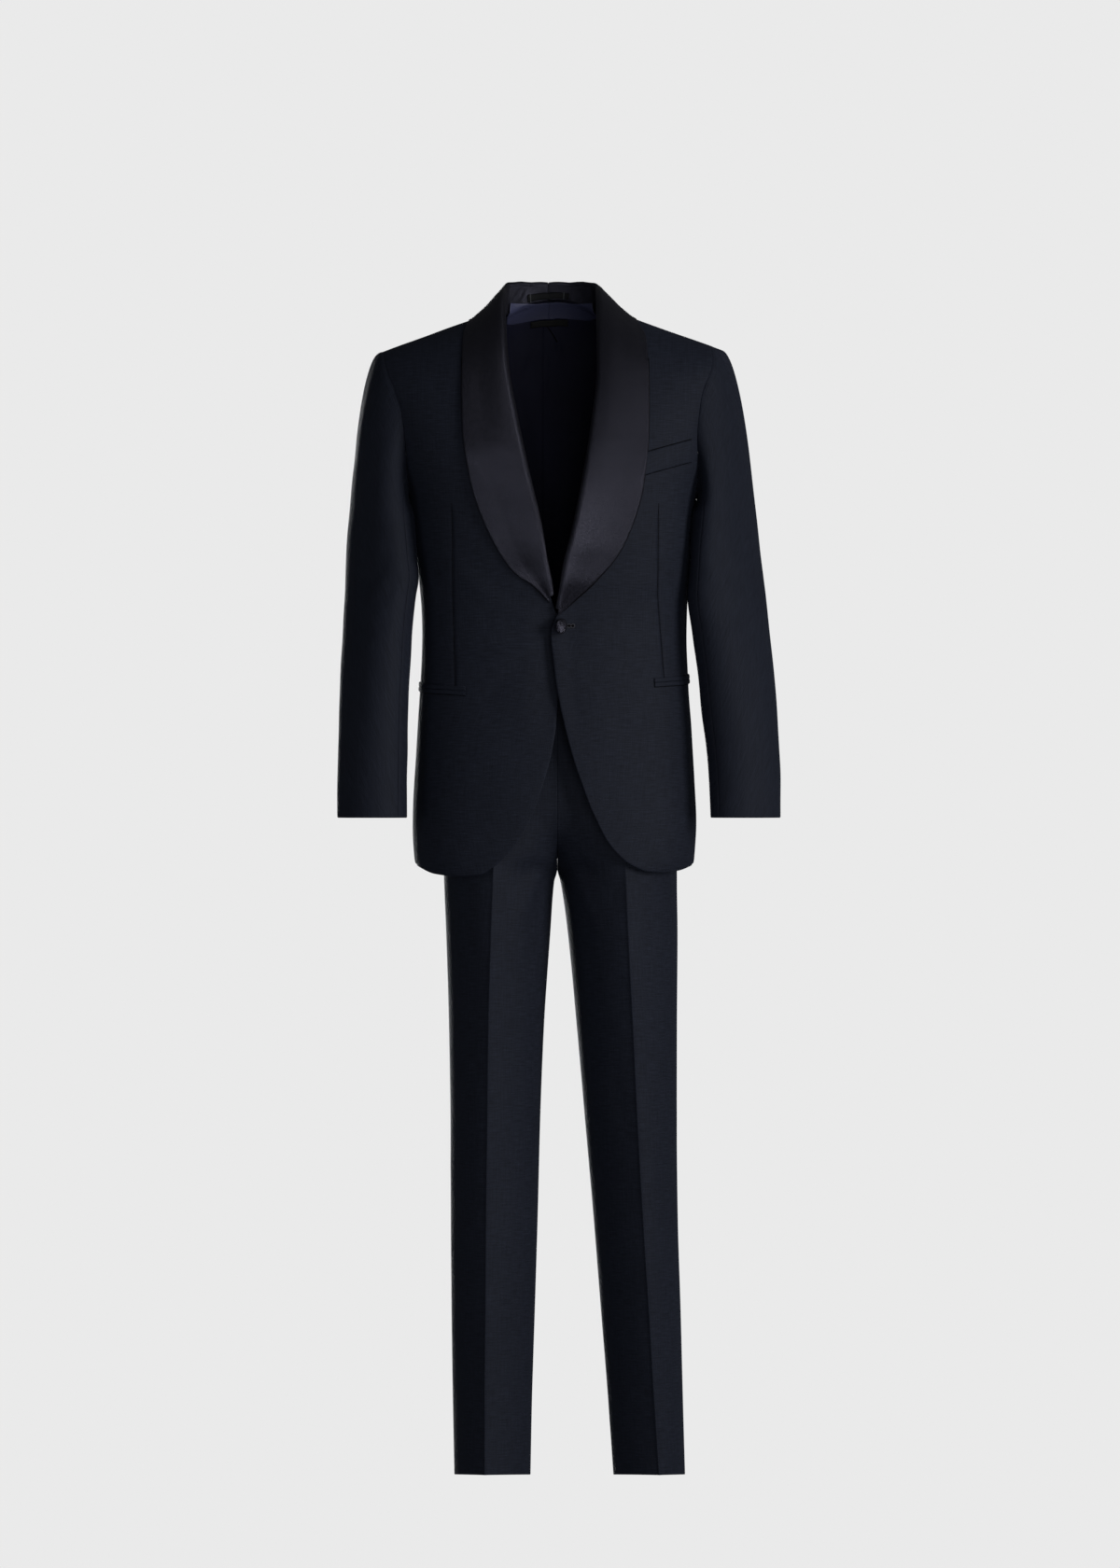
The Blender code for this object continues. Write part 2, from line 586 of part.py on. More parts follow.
def side_panel(side):
    """Points of the panel under an armhole, between the front and the back."""
    share = np.array(SIDE_COLUMNS)
    reach = mix(SIDE_SEAM_REACH[0] - HALF_SEAM, -SIDE_SEAM_REACH[1] + HALF_SEAM, share)
    arm = np.where(reach > 0, ARM_REACH[side][0], ARM_REACH[side][1])
    top = np.sqrt(ARM_DEPTH * 0.5 * (1 + np.sqrt(1 - (reach / arm) ** 2)))
    down = np.array([0.0, *BODY_ROWS])[:, None]
    root = mix(top[None, :], np.sqrt(SIDE_HEM), down)
    front = turn_reaching(np.maximum(reach, 0), root, 0)
    back = turn_reaching(np.maximum(-reach, 0), root, 1)
    return ring_point(side, np.where(reach > 0, front, back), root)


def build_body(cloth):
    for side, name in SIDES.items():
        front = front_panel(side, row_shares(side, 0))
        panel(f"jacket_front_{name}", front, JACKET_WALL, cloth, side < 0)
        back = back_panel(side, row_shares(side, 1))
        panel(f"jacket_back_{name}", back, JACKET_WALL, cloth, side < 0)
        panel(f"jacket_side_{name}", side_panel(side), JACKET_WALL, cloth, side < 0)


# Sleeves


def sleeve_section(side, angle, level):
    """A section below the armpit. The angle runs from the outer line round by the front."""
    outer = read(SLEEVES[side], "outer", level)
    inner = read(SLEEVES[side], "inner", level)
    skew = np.radians(read(SLEEVES[side], "skew", level))
    x = side * ((outer + inner) / 2 + (outer - inner) / 2 * np.cos(angle))
    half_depth = read(SLEEVES[side], "half_depth", level)
    y = read(SLEEVES[side], "middle", level) - half_depth * np.sin(angle - skew)
    return stacked(x, y, -level)


def armhole(side, angle):
    """The armhole's edge, and the direction out of the torso there."""
    level = np.clip(ARM_DEPTH * 0.5 * (1 - np.cos(angle)), 1e-6, None)
    root = np.sqrt(level)
    in_front = np.sin(angle) > 0
    reach = np.abs(np.sin(angle))
    front = turn_reaching(ARM_REACH[side][0] * reach, root, 0)
    back = turn_reaching(ARM_REACH[side][1] * reach, root, 1)
    turn = np.where(in_front, front, back)
    edge = ring_point(side, turn, root)
    return edge, ring_point(side, turn, root, 1.0) - edge


def sleeve_point(side, angle, along):
    """A sleeve: from the armhole at 0 over its head to the armpit's level at 1, to the cuff at 2."""
    top_level, cuff_level = SLEEVES[side][0].level, SLEEVES[side][-1].level
    angle, along = np.broadcast_arrays(angle, along)
    edge, outwards = armhole(side, angle)
    pit = ease(-np.cos(angle), 0.6, 1.0)
    start = edge + outwards * SLEEVE_GAP
    start = start + stacked(side * 2 * SLEEVE_GAP, 0 * pit, SLEEVE_GAP * pit)
    end = sleeve_section(side, angle, top_level)
    reach = np.maximum(start[..., 2] - end[..., 2], 0.015)
    crown = ((1 + np.cos(angle)) / 2) ** 2
    lead = stacked(
        side * CAP_PUSH * mix(0.22, 1.0, crown),
        -0.012 * np.sin(angle),
        -reach * mix(0.40, 0.06, crown),
    )
    below = sleeve_section(side, angle, top_level + 0.02)
    trail = (below - end) / 0.02 * (reach * CAP_FALL)[..., None]
    t = np.clip(along, 0, 1)[..., None]
    cap = (
        start * (1 + 2 * t) * (1 - t) ** 2
        + lead * t * (1 - t) ** 2
        + end * t * t * (3 - 2 * t)
        + trail * t * t * (t - 1)
    )
    arm = sleeve_section(side, angle, mix(top_level, cuff_level, np.clip(along - 1, 0, 1)))
    return np.where(along[..., None] > 1, arm, cap)


def build_sleeves(cloth):
    rows = np.array(CAP_ROWS + ARM_ROWS)[:, None]
    for side, name in SIDES.items():
        for kind, degrees in (("top_sleeve", TOP_ANGLES), ("under_sleeve", UNDER_ANGLES)):
            trim = np.zeros(len(degrees))
            trim[0], trim[-1] = SEAM_ANGLE, -SEAM_ANGLE
            points = sleeve_point(side, np.radians(degrees + trim)[None, :], rows)
            panel(f"{kind}_{name}", points, SLEEVE_WALL, cloth, side > 0)


# Collar


def collar_value(side, station, name):
    rows = COLLAR[side]
    values = np.array(column(rows, name))
    if name.endswith("level"):
        values = np.sign(values) * np.sqrt(np.abs(values))
    return spline(np.linspace(0, 1, len(rows)), values, station)


def collar_lean(side, station):
    """Where the foot of the collar lies, and the level direction from it to the middle of the neck."""
    base_x, base_root = (collar_value(side, station, name) for name in ("base_x", "base_level"))
    foot = torso_chart(base_x, base_root)
    return foot, unit(stacked(NECK_SEAM - foot[..., 0], NECK_CENTRE - foot[..., 1], 0 * station))


def collar_fall(side, station, across):
    """The fall of the collar: from its outer edge at 0 to its fold at 1."""
    names = ("edge_x", "base_x", "edge_level", "base_level", "height", "stand")
    edge_x, base_x, edge_root, base_root, top, stand = (
        collar_value(side, station, name) for name in names
    )
    clear = COLLAR_CLEARANCE + COLLAR_WALL
    height = clear + (top - clear) * ease(across, 0.35, 1.0)
    x, root = mix(edge_x, base_x, across), mix(edge_root, base_root, across)
    lift = stand * across**2
    lean = collar_lean(side, station)[1]
    upwards = stacked(0 * lift, 0 * lift, lift)
    return chart_point(side, x, root, height) + lean * (STAND_LEAN * lift)[..., None] + upwards


def collar_foot(side, station):
    """The edge of the collar inside the jacket."""
    names = ("base_x", "base_level", "stand", "under", "sunk")
    x, root, stand, under, sunk = (collar_value(side, station, name) for name in names)
    inset = STAND_INSET * ease(stand, 0.0, STAND_START)
    foot = chart_point(side, x + side * under, root, -sunk)
    return foot + collar_lean(side, station)[1] * inset[..., None]


def collar_point(side, station, across):
    """The collar with its fold: past 1 it turns over at the fold, and past 2 runs down inside."""
    station, across = np.broadcast_arrays(station, across)
    step = 1e-3
    one = np.ones_like(across)
    fall = collar_fall(side, station, np.clip(across, 0, 1))
    fold = collar_fall(side, station, one)
    onward = fold - collar_fall(side, station, one - 0.02)
    along = collar_fall(side, np.clip(station + step, 0, 1), one)
    along = along - collar_fall(side, np.clip(station - step, 0, 1), one)
    straight = stacked(1 - ease(station, 0.85, 1.0), one, one)
    outwards = unit(np.cross(along, onward) * straight) * side
    onward = unit(np.cross(outwards, along) * straight) * side
    radius = collar_value(side, station, "radius")[..., None]
    turn = (np.clip(across - 1, 0, 1) * pi)[..., None]
    over = fold + radius * (onward * np.sin(turn) - outwards * (1 - np.cos(turn)))
    run = np.clip(across - 2, 0, 1)[..., None]
    inside = mix(over, collar_foot(side, station), run)
    return np.where(across[..., None] <= 1, fall, inside)


def build_collar(satin):
    stations = np.array(COLLAR_STATIONS)[:, None]
    across = np.array(COLLAR_ACROSS)[None, :]
    for side, name in SIDES.items():
        points = collar_point(side, stations, across)
        panel(f"shawl_collar_{name}", points, COLLAR_WALL, satin, side < 0)


# Neck interior


def inside_back(x, down, depth):
    """A grid inside the backs: columns across at x, rows this far down the cloth from its top."""
    halves = [back_panel(side, row_shares(side, 1)) for side in (-1, 1)]
    back = np.concatenate([halves[0], halves[1][:, ::-1]], axis=1)
    inwards = unit(np.cross(np.gradient(back, axis=0), np.gradient(back, axis=1)))
    columns = []
    for place, (at, lengths) in enumerate(zip(x, down.T)):
        line = np.stack([np.interp(at, row[:, 0], np.arange(len(row))) for row in back])
        whole = np.minimum(line.astype(int), back.shape[1] - 2)
        part = (line - whole)[:, None]
        rows = np.arange(len(line))
        track = mix(back[rows, whole], back[rows, whole + 1], part)
        facing = mix(inwards[rows, whole], inwards[rows, whole + 1], part)
        length = np.concatenate([[0], np.cumsum(np.linalg.norm(np.diff(track, axis=0), axis=1))])
        point = [np.interp(lengths, length, track[:, axis]) for axis in range(3)]
        normal = unit(np.stack([np.interp(lengths, length, facing[:, axis]) for axis in range(3)], 1))
        columns.append(np.stack(point, 1) + normal * np.broadcast_to(depth, down.shape)[:, place, None])
    return np.stack(columns, axis=1)


def neck_places(side):
    """Places across, from the middle seam of the collar to the side of the neck."""
    return np.linspace(NECK_SEAM + side * SEAM / 2, NECK_SIDE[side], 7)


def neck_facing(side):
    """Points of one half of the band that finishes the neck inside."""
    x = neck_places(side)
    down = mix(FACING_START, FACING_DEPTH, np.linspace(0, 1, 3))[:, None] + 0 * x
    return inside_back(x, down, JACKET_WALL + LINING_GAP)


def back_lining(side):
    """Points of one half of the back's lining. The wearer's left half laps over as a pleat."""
    start = [NECK_SEAM - PLEAT_OVERLAP] if side > 0 else []
    ends = np.linspace(NECK_SIDE[side], side * LINING_HALF_WIDTH, 4)[1:]
    x = np.concatenate([start, neck_places(side), ends])
    down = mix(FACING_DEPTH + 3 * SEAM, LINING_LENGTH, np.linspace(0, 1, 13) ** 1.5)[:, None] + 0 * x
    lap = PLEAT_LAP * (1 - ease(x, NECK_SEAM, NECK_SEAM + PLEAT_FADE)) * (side > 0)
    return inside_back(x, down, JACKET_WALL + LINING_GAP + lap)


def build_neck(lining, silk, black):
    for side, name in SIDES.items():
        flip = side > 0
        panel(f"neck_facing_{name}", neck_facing(side), FACING_WALL, silk, flip)
        panel(f"back_lining_{name}", back_lining(side), LINING_WALL, lining, flip)
    x = np.linspace(LABEL[0], LABEL[1], 7)
    down = LABEL_START + np.array([[0.0], [1.0]]) * LABEL[2] + 0 * x
    depth = JACKET_WALL + LINING_GAP + LINING_WALL + PLEAT_LAP + 2 * SEAM
    panel("neck_label", inside_back(x, down, depth), LINING_WALL, black, True)


def stand_place(x, above):
    """A place on the inside of the collar's stand: how far across, and how far above its foot."""
    side = -1 if x < NECK_SEAM else 1
    rows = COLLAR[side][-5:]
    keys = np.linspace(0, 1, len(COLLAR[side]))[-5:]
    station = spline(column(rows, "base_x")[::-side], keys[::-side], x)
    return collar_point(side, station, 3 - above / rows[-1].stand)


def build_hanger_loop(silk):
    """A flat loop tacked to the stand of the collar at both ends."""
    edges = []
    for x in np.linspace(LOOP[0], LOOP[1], 11):
        low, high = stand_place(x, LOOP_ABOVE), stand_place(x, LOOP_ABOVE + LOOP[2])
        inwards = unit(np.array([NECK_SEAM - low[0], NECK_CENTRE - 0.06 - low[1], 0.0]))
        share = (x - LOOP[0]) / (LOOP[1] - LOOP[0])
        away = LOOP_WALL + 3 * SEAM + LOOP_SLACK * np.sin(pi * share) ** 2
        edges.append([low + inwards * away, high + inwards * away])
    panel("hanger_loop", np.array(edges), LOOP_WALL, silk, False)


# Pockets and button


def front_at(side, x, height_level, distance):
    """A point of the front's outer face at a place across and a height, moved out."""
    root = np.sqrt(height_level)
    for _ in range(6):
        low = height_level + torso_height(x, root) + root * root
        root = np.sqrt(np.clip(low, 1e-6, None))
    return chart_point(side, x, root, distance)


def build_welt(cloth):
    x = np.linspace(WELT[0], WELT[1], 9)[None, :]
    foot = WELT_FOOT + WELT_RISE * (WELT[1] - x)
    level = foot - WELT_HEIGHT * np.linspace(1, 0, 4)[:, None]
    points = front_at(1, x + 0 * level, level, WELT_WALL + WELT_GAP)
    panel("breast_welt", points, WELT_WALL, cloth, False)


def build_pockets(cloth):
    for side, name in SIDES.items():
        start, foot = POCKET[side]
        root = np.sqrt(foot)
        turns = np.linspace(turn_at(side, side * start, root), 0.62, 200)
        track = torso_ring(side, turns, root + 0 * turns)
        length = np.concatenate([[0], np.cumsum(np.linalg.norm(np.diff(track, axis=0), axis=1))])
        along = np.linspace(0, POCKET_LENGTH, 13)
        turn = np.interp(along, length, turns)
        for kind, low in (("lower", 0.0), ("upper", JET_HEIGHT + SEAM)):
            level = foot - POCKET_RISE * along - low
            level = level[None, :] - JET_HEIGHT * np.array([[1.0], [0.0]])
            where = turn[None, :] + 0 * level
            points = ring_point(side, where, np.sqrt(level), JET_WALL + JET_GAP)
            panel(f"hip_pocket_{kind}_jet_{name}", points, JET_WALL, cloth, side < 0)


def build_button(satin):
    """A covered button: a domed disc turned about its axis, tipped on the front it fastens."""
    mesh = bpy.data.meshes.new("front_button")
    edges = [(i, i + 1) for i in range(len(BUTTON_PROFILE) - 1)]
    mesh.from_pydata([(x, 0.0, z) for x, z in BUTTON_PROFILE[::-1]], edges, [])
    mesh.materials.append(satin)
    made = bpy.data.objects.new("front_button", mesh)
    PARTS.objects.link(made)
    screw = made.modifiers.new("turned", "SCREW")
    screw.steps = screw.render_steps = 24
    screw.use_merge_vertices = True
    screw.merge_threshold = 1e-5
    screw.use_smooth_shade = True
    x, level = BUTTON_AT
    root = np.sqrt(level)
    seat = chart_point(1, x, root, BUTTON_GAP)
    out = chart_point(1, x, root, 1.0) - seat
    made.rotation_mode = "QUATERNION"
    tipped = Matrix.Rotation(np.radians(BUTTON_TURN), 3, "Z") @ Vector(out)
    made.rotation_quaternion = tipped.to_track_quat("Z", "X")
    made.location = seat


# Trousers


def leg_point(side, face, place, level):
    """A trouser leg's front (face -1) or back (face 1): -1 at the outseam, 0 at the crease, 1 inside."""
    place, level = np.broadcast_arrays(place, level)
    outside = place < 0
    crease_x = read(LEGS[side], "crease", level)
    outer_x = read(LEGS[side], "outer", level)
    end_x = np.where(outside, outer_x, read(LEGS[side], "inner", level))
    depth = read(LEG_DEPTH, "front" if face < 0 else "back", level)
    seam = read(RISE, "front" if face < 0 else "back", level)
    end_y = np.where(outside, OUTSEAM_DEPTH, seam)
    sharp = read(LEG_DEPTH, "sharpness", level)
    rounding = np.where(outside, 1.0, ease(level, ROUNDING_START, FORK))
    angle = np.abs(place) * pi / 2
    sine = np.sin(angle)
    share = mix(np.abs(place), sine, rounding)
    tube = np.sqrt(np.clip(1 - mix(sine**2, sine, sharp), 0, 1))
    fall = mix(np.cos(angle) ** 2, tube, rounding)
    at_end = np.abs(place) > 0.999
    gap = HALF_SEAM + FORK_GAP * (1 - ease(np.abs(level - FORK), 0.0, FORK_GAP_END))
    x = mix(crease_x, end_x, share) + side * HALF_SEAM * (place > 0.999)
    y = end_y + (depth - end_y) * fall + face * gap * at_end
    return stacked(x, y, -level)


def build_trousers(cloth):
    places = np.array(LEG_COLUMNS)[None, :]
    levels = np.array(LEG_LEVELS)[:, None]
    for side, name in SIDES.items():
        front = leg_point(side, -1, places, levels)
        panel(f"trouser_front_{name}", front, TROUSER_WALL, cloth, side > 0)
        back = leg_point(side, 1, places, levels)
        panel(f"trouser_back_{name}", back, TROUSER_WALL, cloth, side < 0)
        band = np.linspace(WAIST_TOP, WAIST_FOOT, 3)[:, None]
        ahead = leg_point(side, -1, places[:, ::-1], band)
        astern = leg_point(side, 1, places[:, 1:], band)
        waist = np.concatenate([ahead, astern], axis=1)
        panel(f"waistband_{name}", waist, WAISTBAND_WALL, cloth, side < 0)


clear_scene()
PARTS = bpy.data.collections.new("tuxedo")
bpy.context.scene.collection.children.link(PARTS)
WOOL = material("wool", (0.0105, 0.0122, 0.0185), 0.82)
SATIN = material("satin", (0.0180, 0.0185, 0.0260), 0.42)
LINING = material("lining", (0.0065, 0.0070, 0.0150), 0.45)
SILK = material("silk", (0.0150, 0.0170, 0.0350), 0.40)
BLACK = material("label", (0.0080, 0.0080, 0.0080), 0.70)
build_body(WOOL)
build_sleeves(WOOL)
build_collar(SATIN)
build_neck(LINING, SILK, BLACK)
build_hanger_loop(SATIN)
build_welt(WOOL)
build_pockets(WOOL)
build_button(SATIN)
build_trousers(WOOL)
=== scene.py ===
"""The looks of a shawl-collared dinner suit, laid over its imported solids.

Every piece of cloth is a fine shell on the form of its own solid, with its creases, seams and edges
moved along the normals. Metres, +Z up, the front faces -Y. SIDES names the wearer's right (-1) and
left (+1).
"""

from collections import namedtuple
from math import pi

import bpy
import numpy as np
from mathutils import Matrix, Vector

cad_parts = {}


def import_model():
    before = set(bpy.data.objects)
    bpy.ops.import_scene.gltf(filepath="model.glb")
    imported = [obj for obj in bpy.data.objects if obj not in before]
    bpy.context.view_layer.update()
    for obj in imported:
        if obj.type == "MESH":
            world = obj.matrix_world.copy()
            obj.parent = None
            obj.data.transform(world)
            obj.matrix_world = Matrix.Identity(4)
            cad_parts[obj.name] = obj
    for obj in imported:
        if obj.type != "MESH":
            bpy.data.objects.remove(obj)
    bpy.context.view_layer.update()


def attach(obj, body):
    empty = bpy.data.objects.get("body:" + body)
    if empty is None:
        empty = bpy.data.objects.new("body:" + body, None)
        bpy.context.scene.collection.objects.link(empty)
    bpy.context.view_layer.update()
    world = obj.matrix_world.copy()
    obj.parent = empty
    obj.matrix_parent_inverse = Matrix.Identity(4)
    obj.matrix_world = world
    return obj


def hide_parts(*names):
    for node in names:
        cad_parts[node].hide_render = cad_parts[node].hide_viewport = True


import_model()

# Cloth and seams
JACKET_WALL = 0.0020
SLEEVE_WALL = 0.0016
COLLAR_WALL = 0.0020
TROUSER_WALL = 0.0013
WAISTBAND_WALL = 0.0030
LINING_WALL = 0.0010
FACING_WALL = 0.0012

SIDES = {-1: "right", 1: "left"}
TENTHS = 10000  # tenths of a millimetre in a metre


def table(names, *rows, plain=()):
    """Rows of named values: lengths in tenths of a millimetre, and plain numbers."""
    kind = namedtuple("Row", names)
    units = [1 if name in plain else TENTHS for name in kind._fields]
    return [kind(*(value / unit for value, unit in zip(row, units))) for row in rows]


def sided(names, right, left, shared=None, plain=()):
    """A table for each side. The columns that both have in common may stand once, in shared."""
    tables = {-1: right, 1: left}
    if shared:
        tables = {side: [a + b for a, b in zip(rows, shared)] for side, rows in tables.items()}
    return {side: table(names, *rows, plain=plain) for side, rows in tables.items()}


# Jacket body: the sections of the torso, from the ridge of the shoulders down
TORSO = table(
    "level half_width front back middle corner slope shift",
    (0, 2500, 0, 0, 40, 4.5, 0.36, -50), (120, 2450, 345, 360, 40, 4.3, 0.355, -50),
    (350, 2370, 600, 620, 40, 4.0, 0.34, -40), (700, 2270, 840, 860, 40, 3.4, 0.3, -40),
    (1100, 2190, 1010, 1020, 30, 3.0, 0.24, -30), (1500, 2120, 1140, 1100, 20, 2.7, 0.17, -30),
    (2000, 2040, 1240, 1130, 0, 2.5, 0.08, -20), (2500, 1920, 1280, 1120, 0, 2.4, 0.03, -20),
    (3100, 1865, 1250, 1090, 0, 2.4, 0.01, -10), (3600, 1815, 1170, 1040, 10, 2.4, 0.0, 0),
    (4000, 1780, 1100, 1010, 30, 2.4, 0.0, 0), (4400, 1770, 1070, 1010, 40, 2.4, 0.0, 0),
    (5000, 1795, 1100, 1070, 50, 2.4, 0.0, 0), (5600, 1835, 1170, 1170, 50, 2.4, 0.0, 0),
    (6300, 1875, 1240, 1280, 50, 2.4, 0.0, 0), (6900, 1900, 1280, 1340, 50, 2.4, 0.0, 0),
    (7350, 1875, 1280, 1350, 50, 2.4, 0.0, 0), (7600, 1790, 1260, 1340, 50, 2.4, 0.0, 0),
    plain=("corner", "slope"),
)
NECK_POINT = 0.075  # from the middle to where the shoulder starts to slope
SHOULDER_REACH = 0.225
NAPE_RISE = 0.0485  # how far the back of the neck stands above the plain arch
NAPE_HALF_WIDTH = 0.13
NAPE_LEVEL = 0.033
NAPE_END = 0.15

# Armholes: an oval in the side view, read over the level
ARM_DEPTH = 0.250
ARM_REACH = {-1: (0.062, 0.064), 1: (0.066, 0.064)}  # to the front and to the back
SIDE_SEAM_REACH = (0.025, 0.045)

# Hems
SIDE_HEM = 0.742
BACK_HEM = 0.736

# The free edges of the fronts below the roll of the collar: how far across at each level
FRONT_EDGE = sided(
    "level x",
    (
        (3990, -10), (4065, 15), (4140, 110), (4240, 190), (4550, 185), (5040, 85), (5300, 45),
        (5600, 20), (5980, -45), (6350, -150), (6730, -275),
    ),
    (
        (4110, 30), (4200, -10), (4280, -34), (4400, -46), (4700, -16), (5040, 25), (5600, 140),
        (6040, 260), (6400, 385), (6660, 480),
    ),
)
# The rounded corners and hems that follow them: the level at each distance from the middle
FRONT_HEM = sided(
    "across level",
    (
        (275, 6730), (420, 7010), (610, 7270), (800, 7450), (1000, 7560), (1300, 7580),
        (1600, 7550), (1900, 7420),
    ),
    (
        (480, 6660), (700, 7100), (850, 7290), (1020, 7430), (1250, 7520), (1450, 7530),
        (1650, 7510), (1900, 7420),
    ),
)
# The wearer's left front lies over the right one round the button
OVERLAP_LIFT = 0.0030
OVERLAP_ACROSS = (0.035, 0.120)
OVERLAP_TOP = (0.330, 0.372)
OVERLAP_FOOT = (0.545, 0.625)

# Shawl collar: each row runs from the roll or the foot of the stand to the outer edge. A level
# counts as negative behind the ridge of the shoulders. The edge inside the jacket lies under the
# front, and sunk below its outer face.
COLLAR_ROLL = (
    (55, 56, 30, 60), (62, 68, 60, 61), (67, 80, 90, 58), (67, 80, 100, 58), (67, 80, 100, 58),
    (67, 80, 100, 58), (69, 80, 80, 60), (70, 78, 0, 68), (58, 73, 0, 36), (46, 66, 0, 12),
    (36, 61, 0, 0), (35, 60, 0, 0), (35, 60, 0, 0), (35, 60, 0, 0),
)
COLLAR = sided(
    "base_x base_level edge_x edge_level stand radius height under sunk",
    (
        (-55, 3850, -70, 3940, 0), (-90, 3660, -280, 3720, 0), (-150, 3400, -530, 3540, 0),
        (-230, 2920, -830, 3080, 0), (-410, 2150, -1095, 2340, 0), (-560, 1430, -1210, 1540, 0),
        (-665, 850, -1230, 830, 0), (-720, 340, -1220, 250, 60), (-745, 60, -1160, 30, 150),
        (-740, -20, -1120, -60, 260), (-680, -120, -1020, -270, 362), (-520, -230, -800, -470, 303),
        (-300, -300, -450, -550, 213), (-78, -330, -78, -570, 190),
    ),
    (
        (60, 4030, 50, 4120, 0), (118, 3790, 290, 3885, 0), (175, 3450, 560, 3630, 0),
        (290, 3000, 890, 3225, 0), (445, 2220, 1170, 2380, 0), (560, 1500, 1245, 1600, 0),
        (630, 880, 1255, 850, 0), (640, 340, 1225, 250, 60), (655, 60, 1110, 30, 170),
        (660, -20, 1060, -60, 270), (600, -120, 950, -270, 338), (430, -240, 720, -470, 266),
        (180, -310, 360, -550, 186), (-78, -330, -78, -570, 190),
    ),
    shared=COLLAR_ROLL,
)
COLLAR_CLEARANCE = 0.0021  # between the body and the underside of the collar
STAND_LEAN = 0.12
STAND_INSET = 0.0042  # from the edge of the neckline to the neck side of the stand
STAND_START = 0.010  # the stand that has its whole inset
NECK_SEAM = -0.0078  # where the two halves of the collar meet at the back
NECK_CENTRE = 0.030
NECK_AIM = NECK_CENTRE - 0.06  # what the insides of the collar face, in front of the centre

# Sleeves: sections from the armpit to the cuff, as distances from the middle of the suit
SLEEVES = sided(
    "level outer inner middle half_depth skew",
    (
        (2750, 2755, 1905, 0, 760, 20), (3200, 2790, 1855, -30, 740, 22),
        (3600, 2805, 1815, -60, 710, 24), (3850, 2815, 1850, -80, 700, 22),
        (4350, 2840, 1900, -120, 670, 18), (4850, 2862, 1925, -180, 630, 16),
        (5350, 2880, 1950, -250, 590, 14), (5850, 2892, 1960, -330, 550, 12),
        (6350, 2900, 1962, -410, 510, 11), (6800, 2900, 1962, -480, 480, 10),
    ),
    (
        (2750, 2715, 1880, 0, 760, 32), (3200, 2760, 1830, -40, 750, 30),
        (3600, 2810, 1795, -80, 720, 28), (3850, 2840, 1775, -100, 710, 26),
        (4350, 2890, 1840, -150, 680, 20), (4850, 2940, 1910, -210, 640, 16),
        (5350, 2980, 1960, -280, 600, 14), (5850, 3005, 2020, -360, 560, 12),
        (6350, 3020, 2065, -440, 520, 11), (6800, 3020, 2082, -500, 480, 10),
    ),
    plain=("skew",),
)
CAP_PUSH = 0.070  # how far the sleeve head carries on outwards before it turns down
CAP_FALL = 1.12
# Degrees round the sleeve from its outer line, by the front, with a seam at each end
TOP_ANGLES = (-110, -107, -88, -68, -48, -28, -13, 0, 13, 28, 48, 68, 90, 113, 137, 140)
UNDER_ANGLES = (140, 143, 169, 195, 221, 247, 250)
SEAM_ANGLE = 0.18

# Neck interior
NECK_SIDE = {-1: -0.0660, 1: 0.0580}
FACING_START = 0.0004
FACING_DEPTH = 0.026
LINING_GAP = 0.0024
PLEAT_LAP = 0.0014
LINING_LENGTH = 0.450
LINING_HALF_WIDTH = 0.100
PLEAT_OVERLAP = 0.008
PLEAT_FADE = 0.014
LABEL = (-0.0330, 0.0190, 0.0100)  # from, to, height
LABEL_START = FACING_DEPTH + 0.0005
LOOP = (-0.0390, 0.0220, 0.0080)
LOOP_WALL = 0.0010
LOOP_ABOVE = 0.002
LOOP_SLACK = 0.0016

# Pockets and button
WELT = (0.1245, 0.182)
WELT_FOOT = 0.206
WELT_RISE = 0.30
WELT_HEIGHT = 0.0295
WELT_WALL = 0.0010
WELT_GAP = 0.0007
JET_HEIGHT = 0.0060
JET_WALL = 0.0010
JET_GAP = 0.0007
POCKET = {-1: (0.118, 0.5175), 1: (0.133, 0.5060)}  # its inner end, and the level of its foot there
POCKET_LENGTH = 0.145
POCKET_RISE = 0.06
BUTTON_AT = (0.0080, 0.4247)
BUTTON_TURN = 38  # degrees towards the wearer's left, as it hangs on its threads
BUTTON_RADIUS = 0.0104
BUTTON_HEIGHT = 0.0046
BUTTON_PROFILE = (
    (0.0, 0.0),
    (0.0086, 0.0),
    (0.0100, 0.0006),
    (BUTTON_RADIUS, 0.0017),
    (0.0100, 0.0029),
    (0.0084, 0.0038),
    (0.0054, 0.0044),
    (0.0, BUTTON_HEIGHT),
)
BUTTON_GAP = 0.0069  # the length of its thread shank: one rim all but touches the front

# Trousers: sections from the waist to the hem. The rise is where front and back meet the middle
# seam, and below the fork where they meet the inseam.
FORK = 0.750
WAIST_TOP = 0.478
WAIST_FOOT = 0.516
LEGS = sided(
    "level outer crease inner",
    (
        (4780, -1410, -760, 40), (5500, -1460, -780, 40), (6200, -1490, -795, 40),
        (7000, -1495, -805, 40), (7500, -1482, -810, 40), (7650, -1478, -815, -2),
        (8350, -1450, -840, -55), (9600, -1412, -875, -140), (10850, -1392, -890, -190),
        (12100, -1388, -906, -222), (13350, -1378, -915, -260), (14600, -1360, -925, -300),
        (15600, -1340, -925, -320),
    ),
    (
        (4780, 1490, 840, 40), (5500, 1570, 880, 40), (6200, 1625, 915, 40), (7000, 1645, 940, 40),
        (7500, 1642, 950, 40), (7650, 1642, 955, 80), (8350, 1650, 985, 180),
        (9600, 1642, 1050, 300), (10850, 1640, 1110, 410), (12100, 1652, 1180, 520),
        (13350, 1690, 1260, 620), (14600, 1722, 1335, 720), (15600, 1750, 1400, 790),
    ),
)
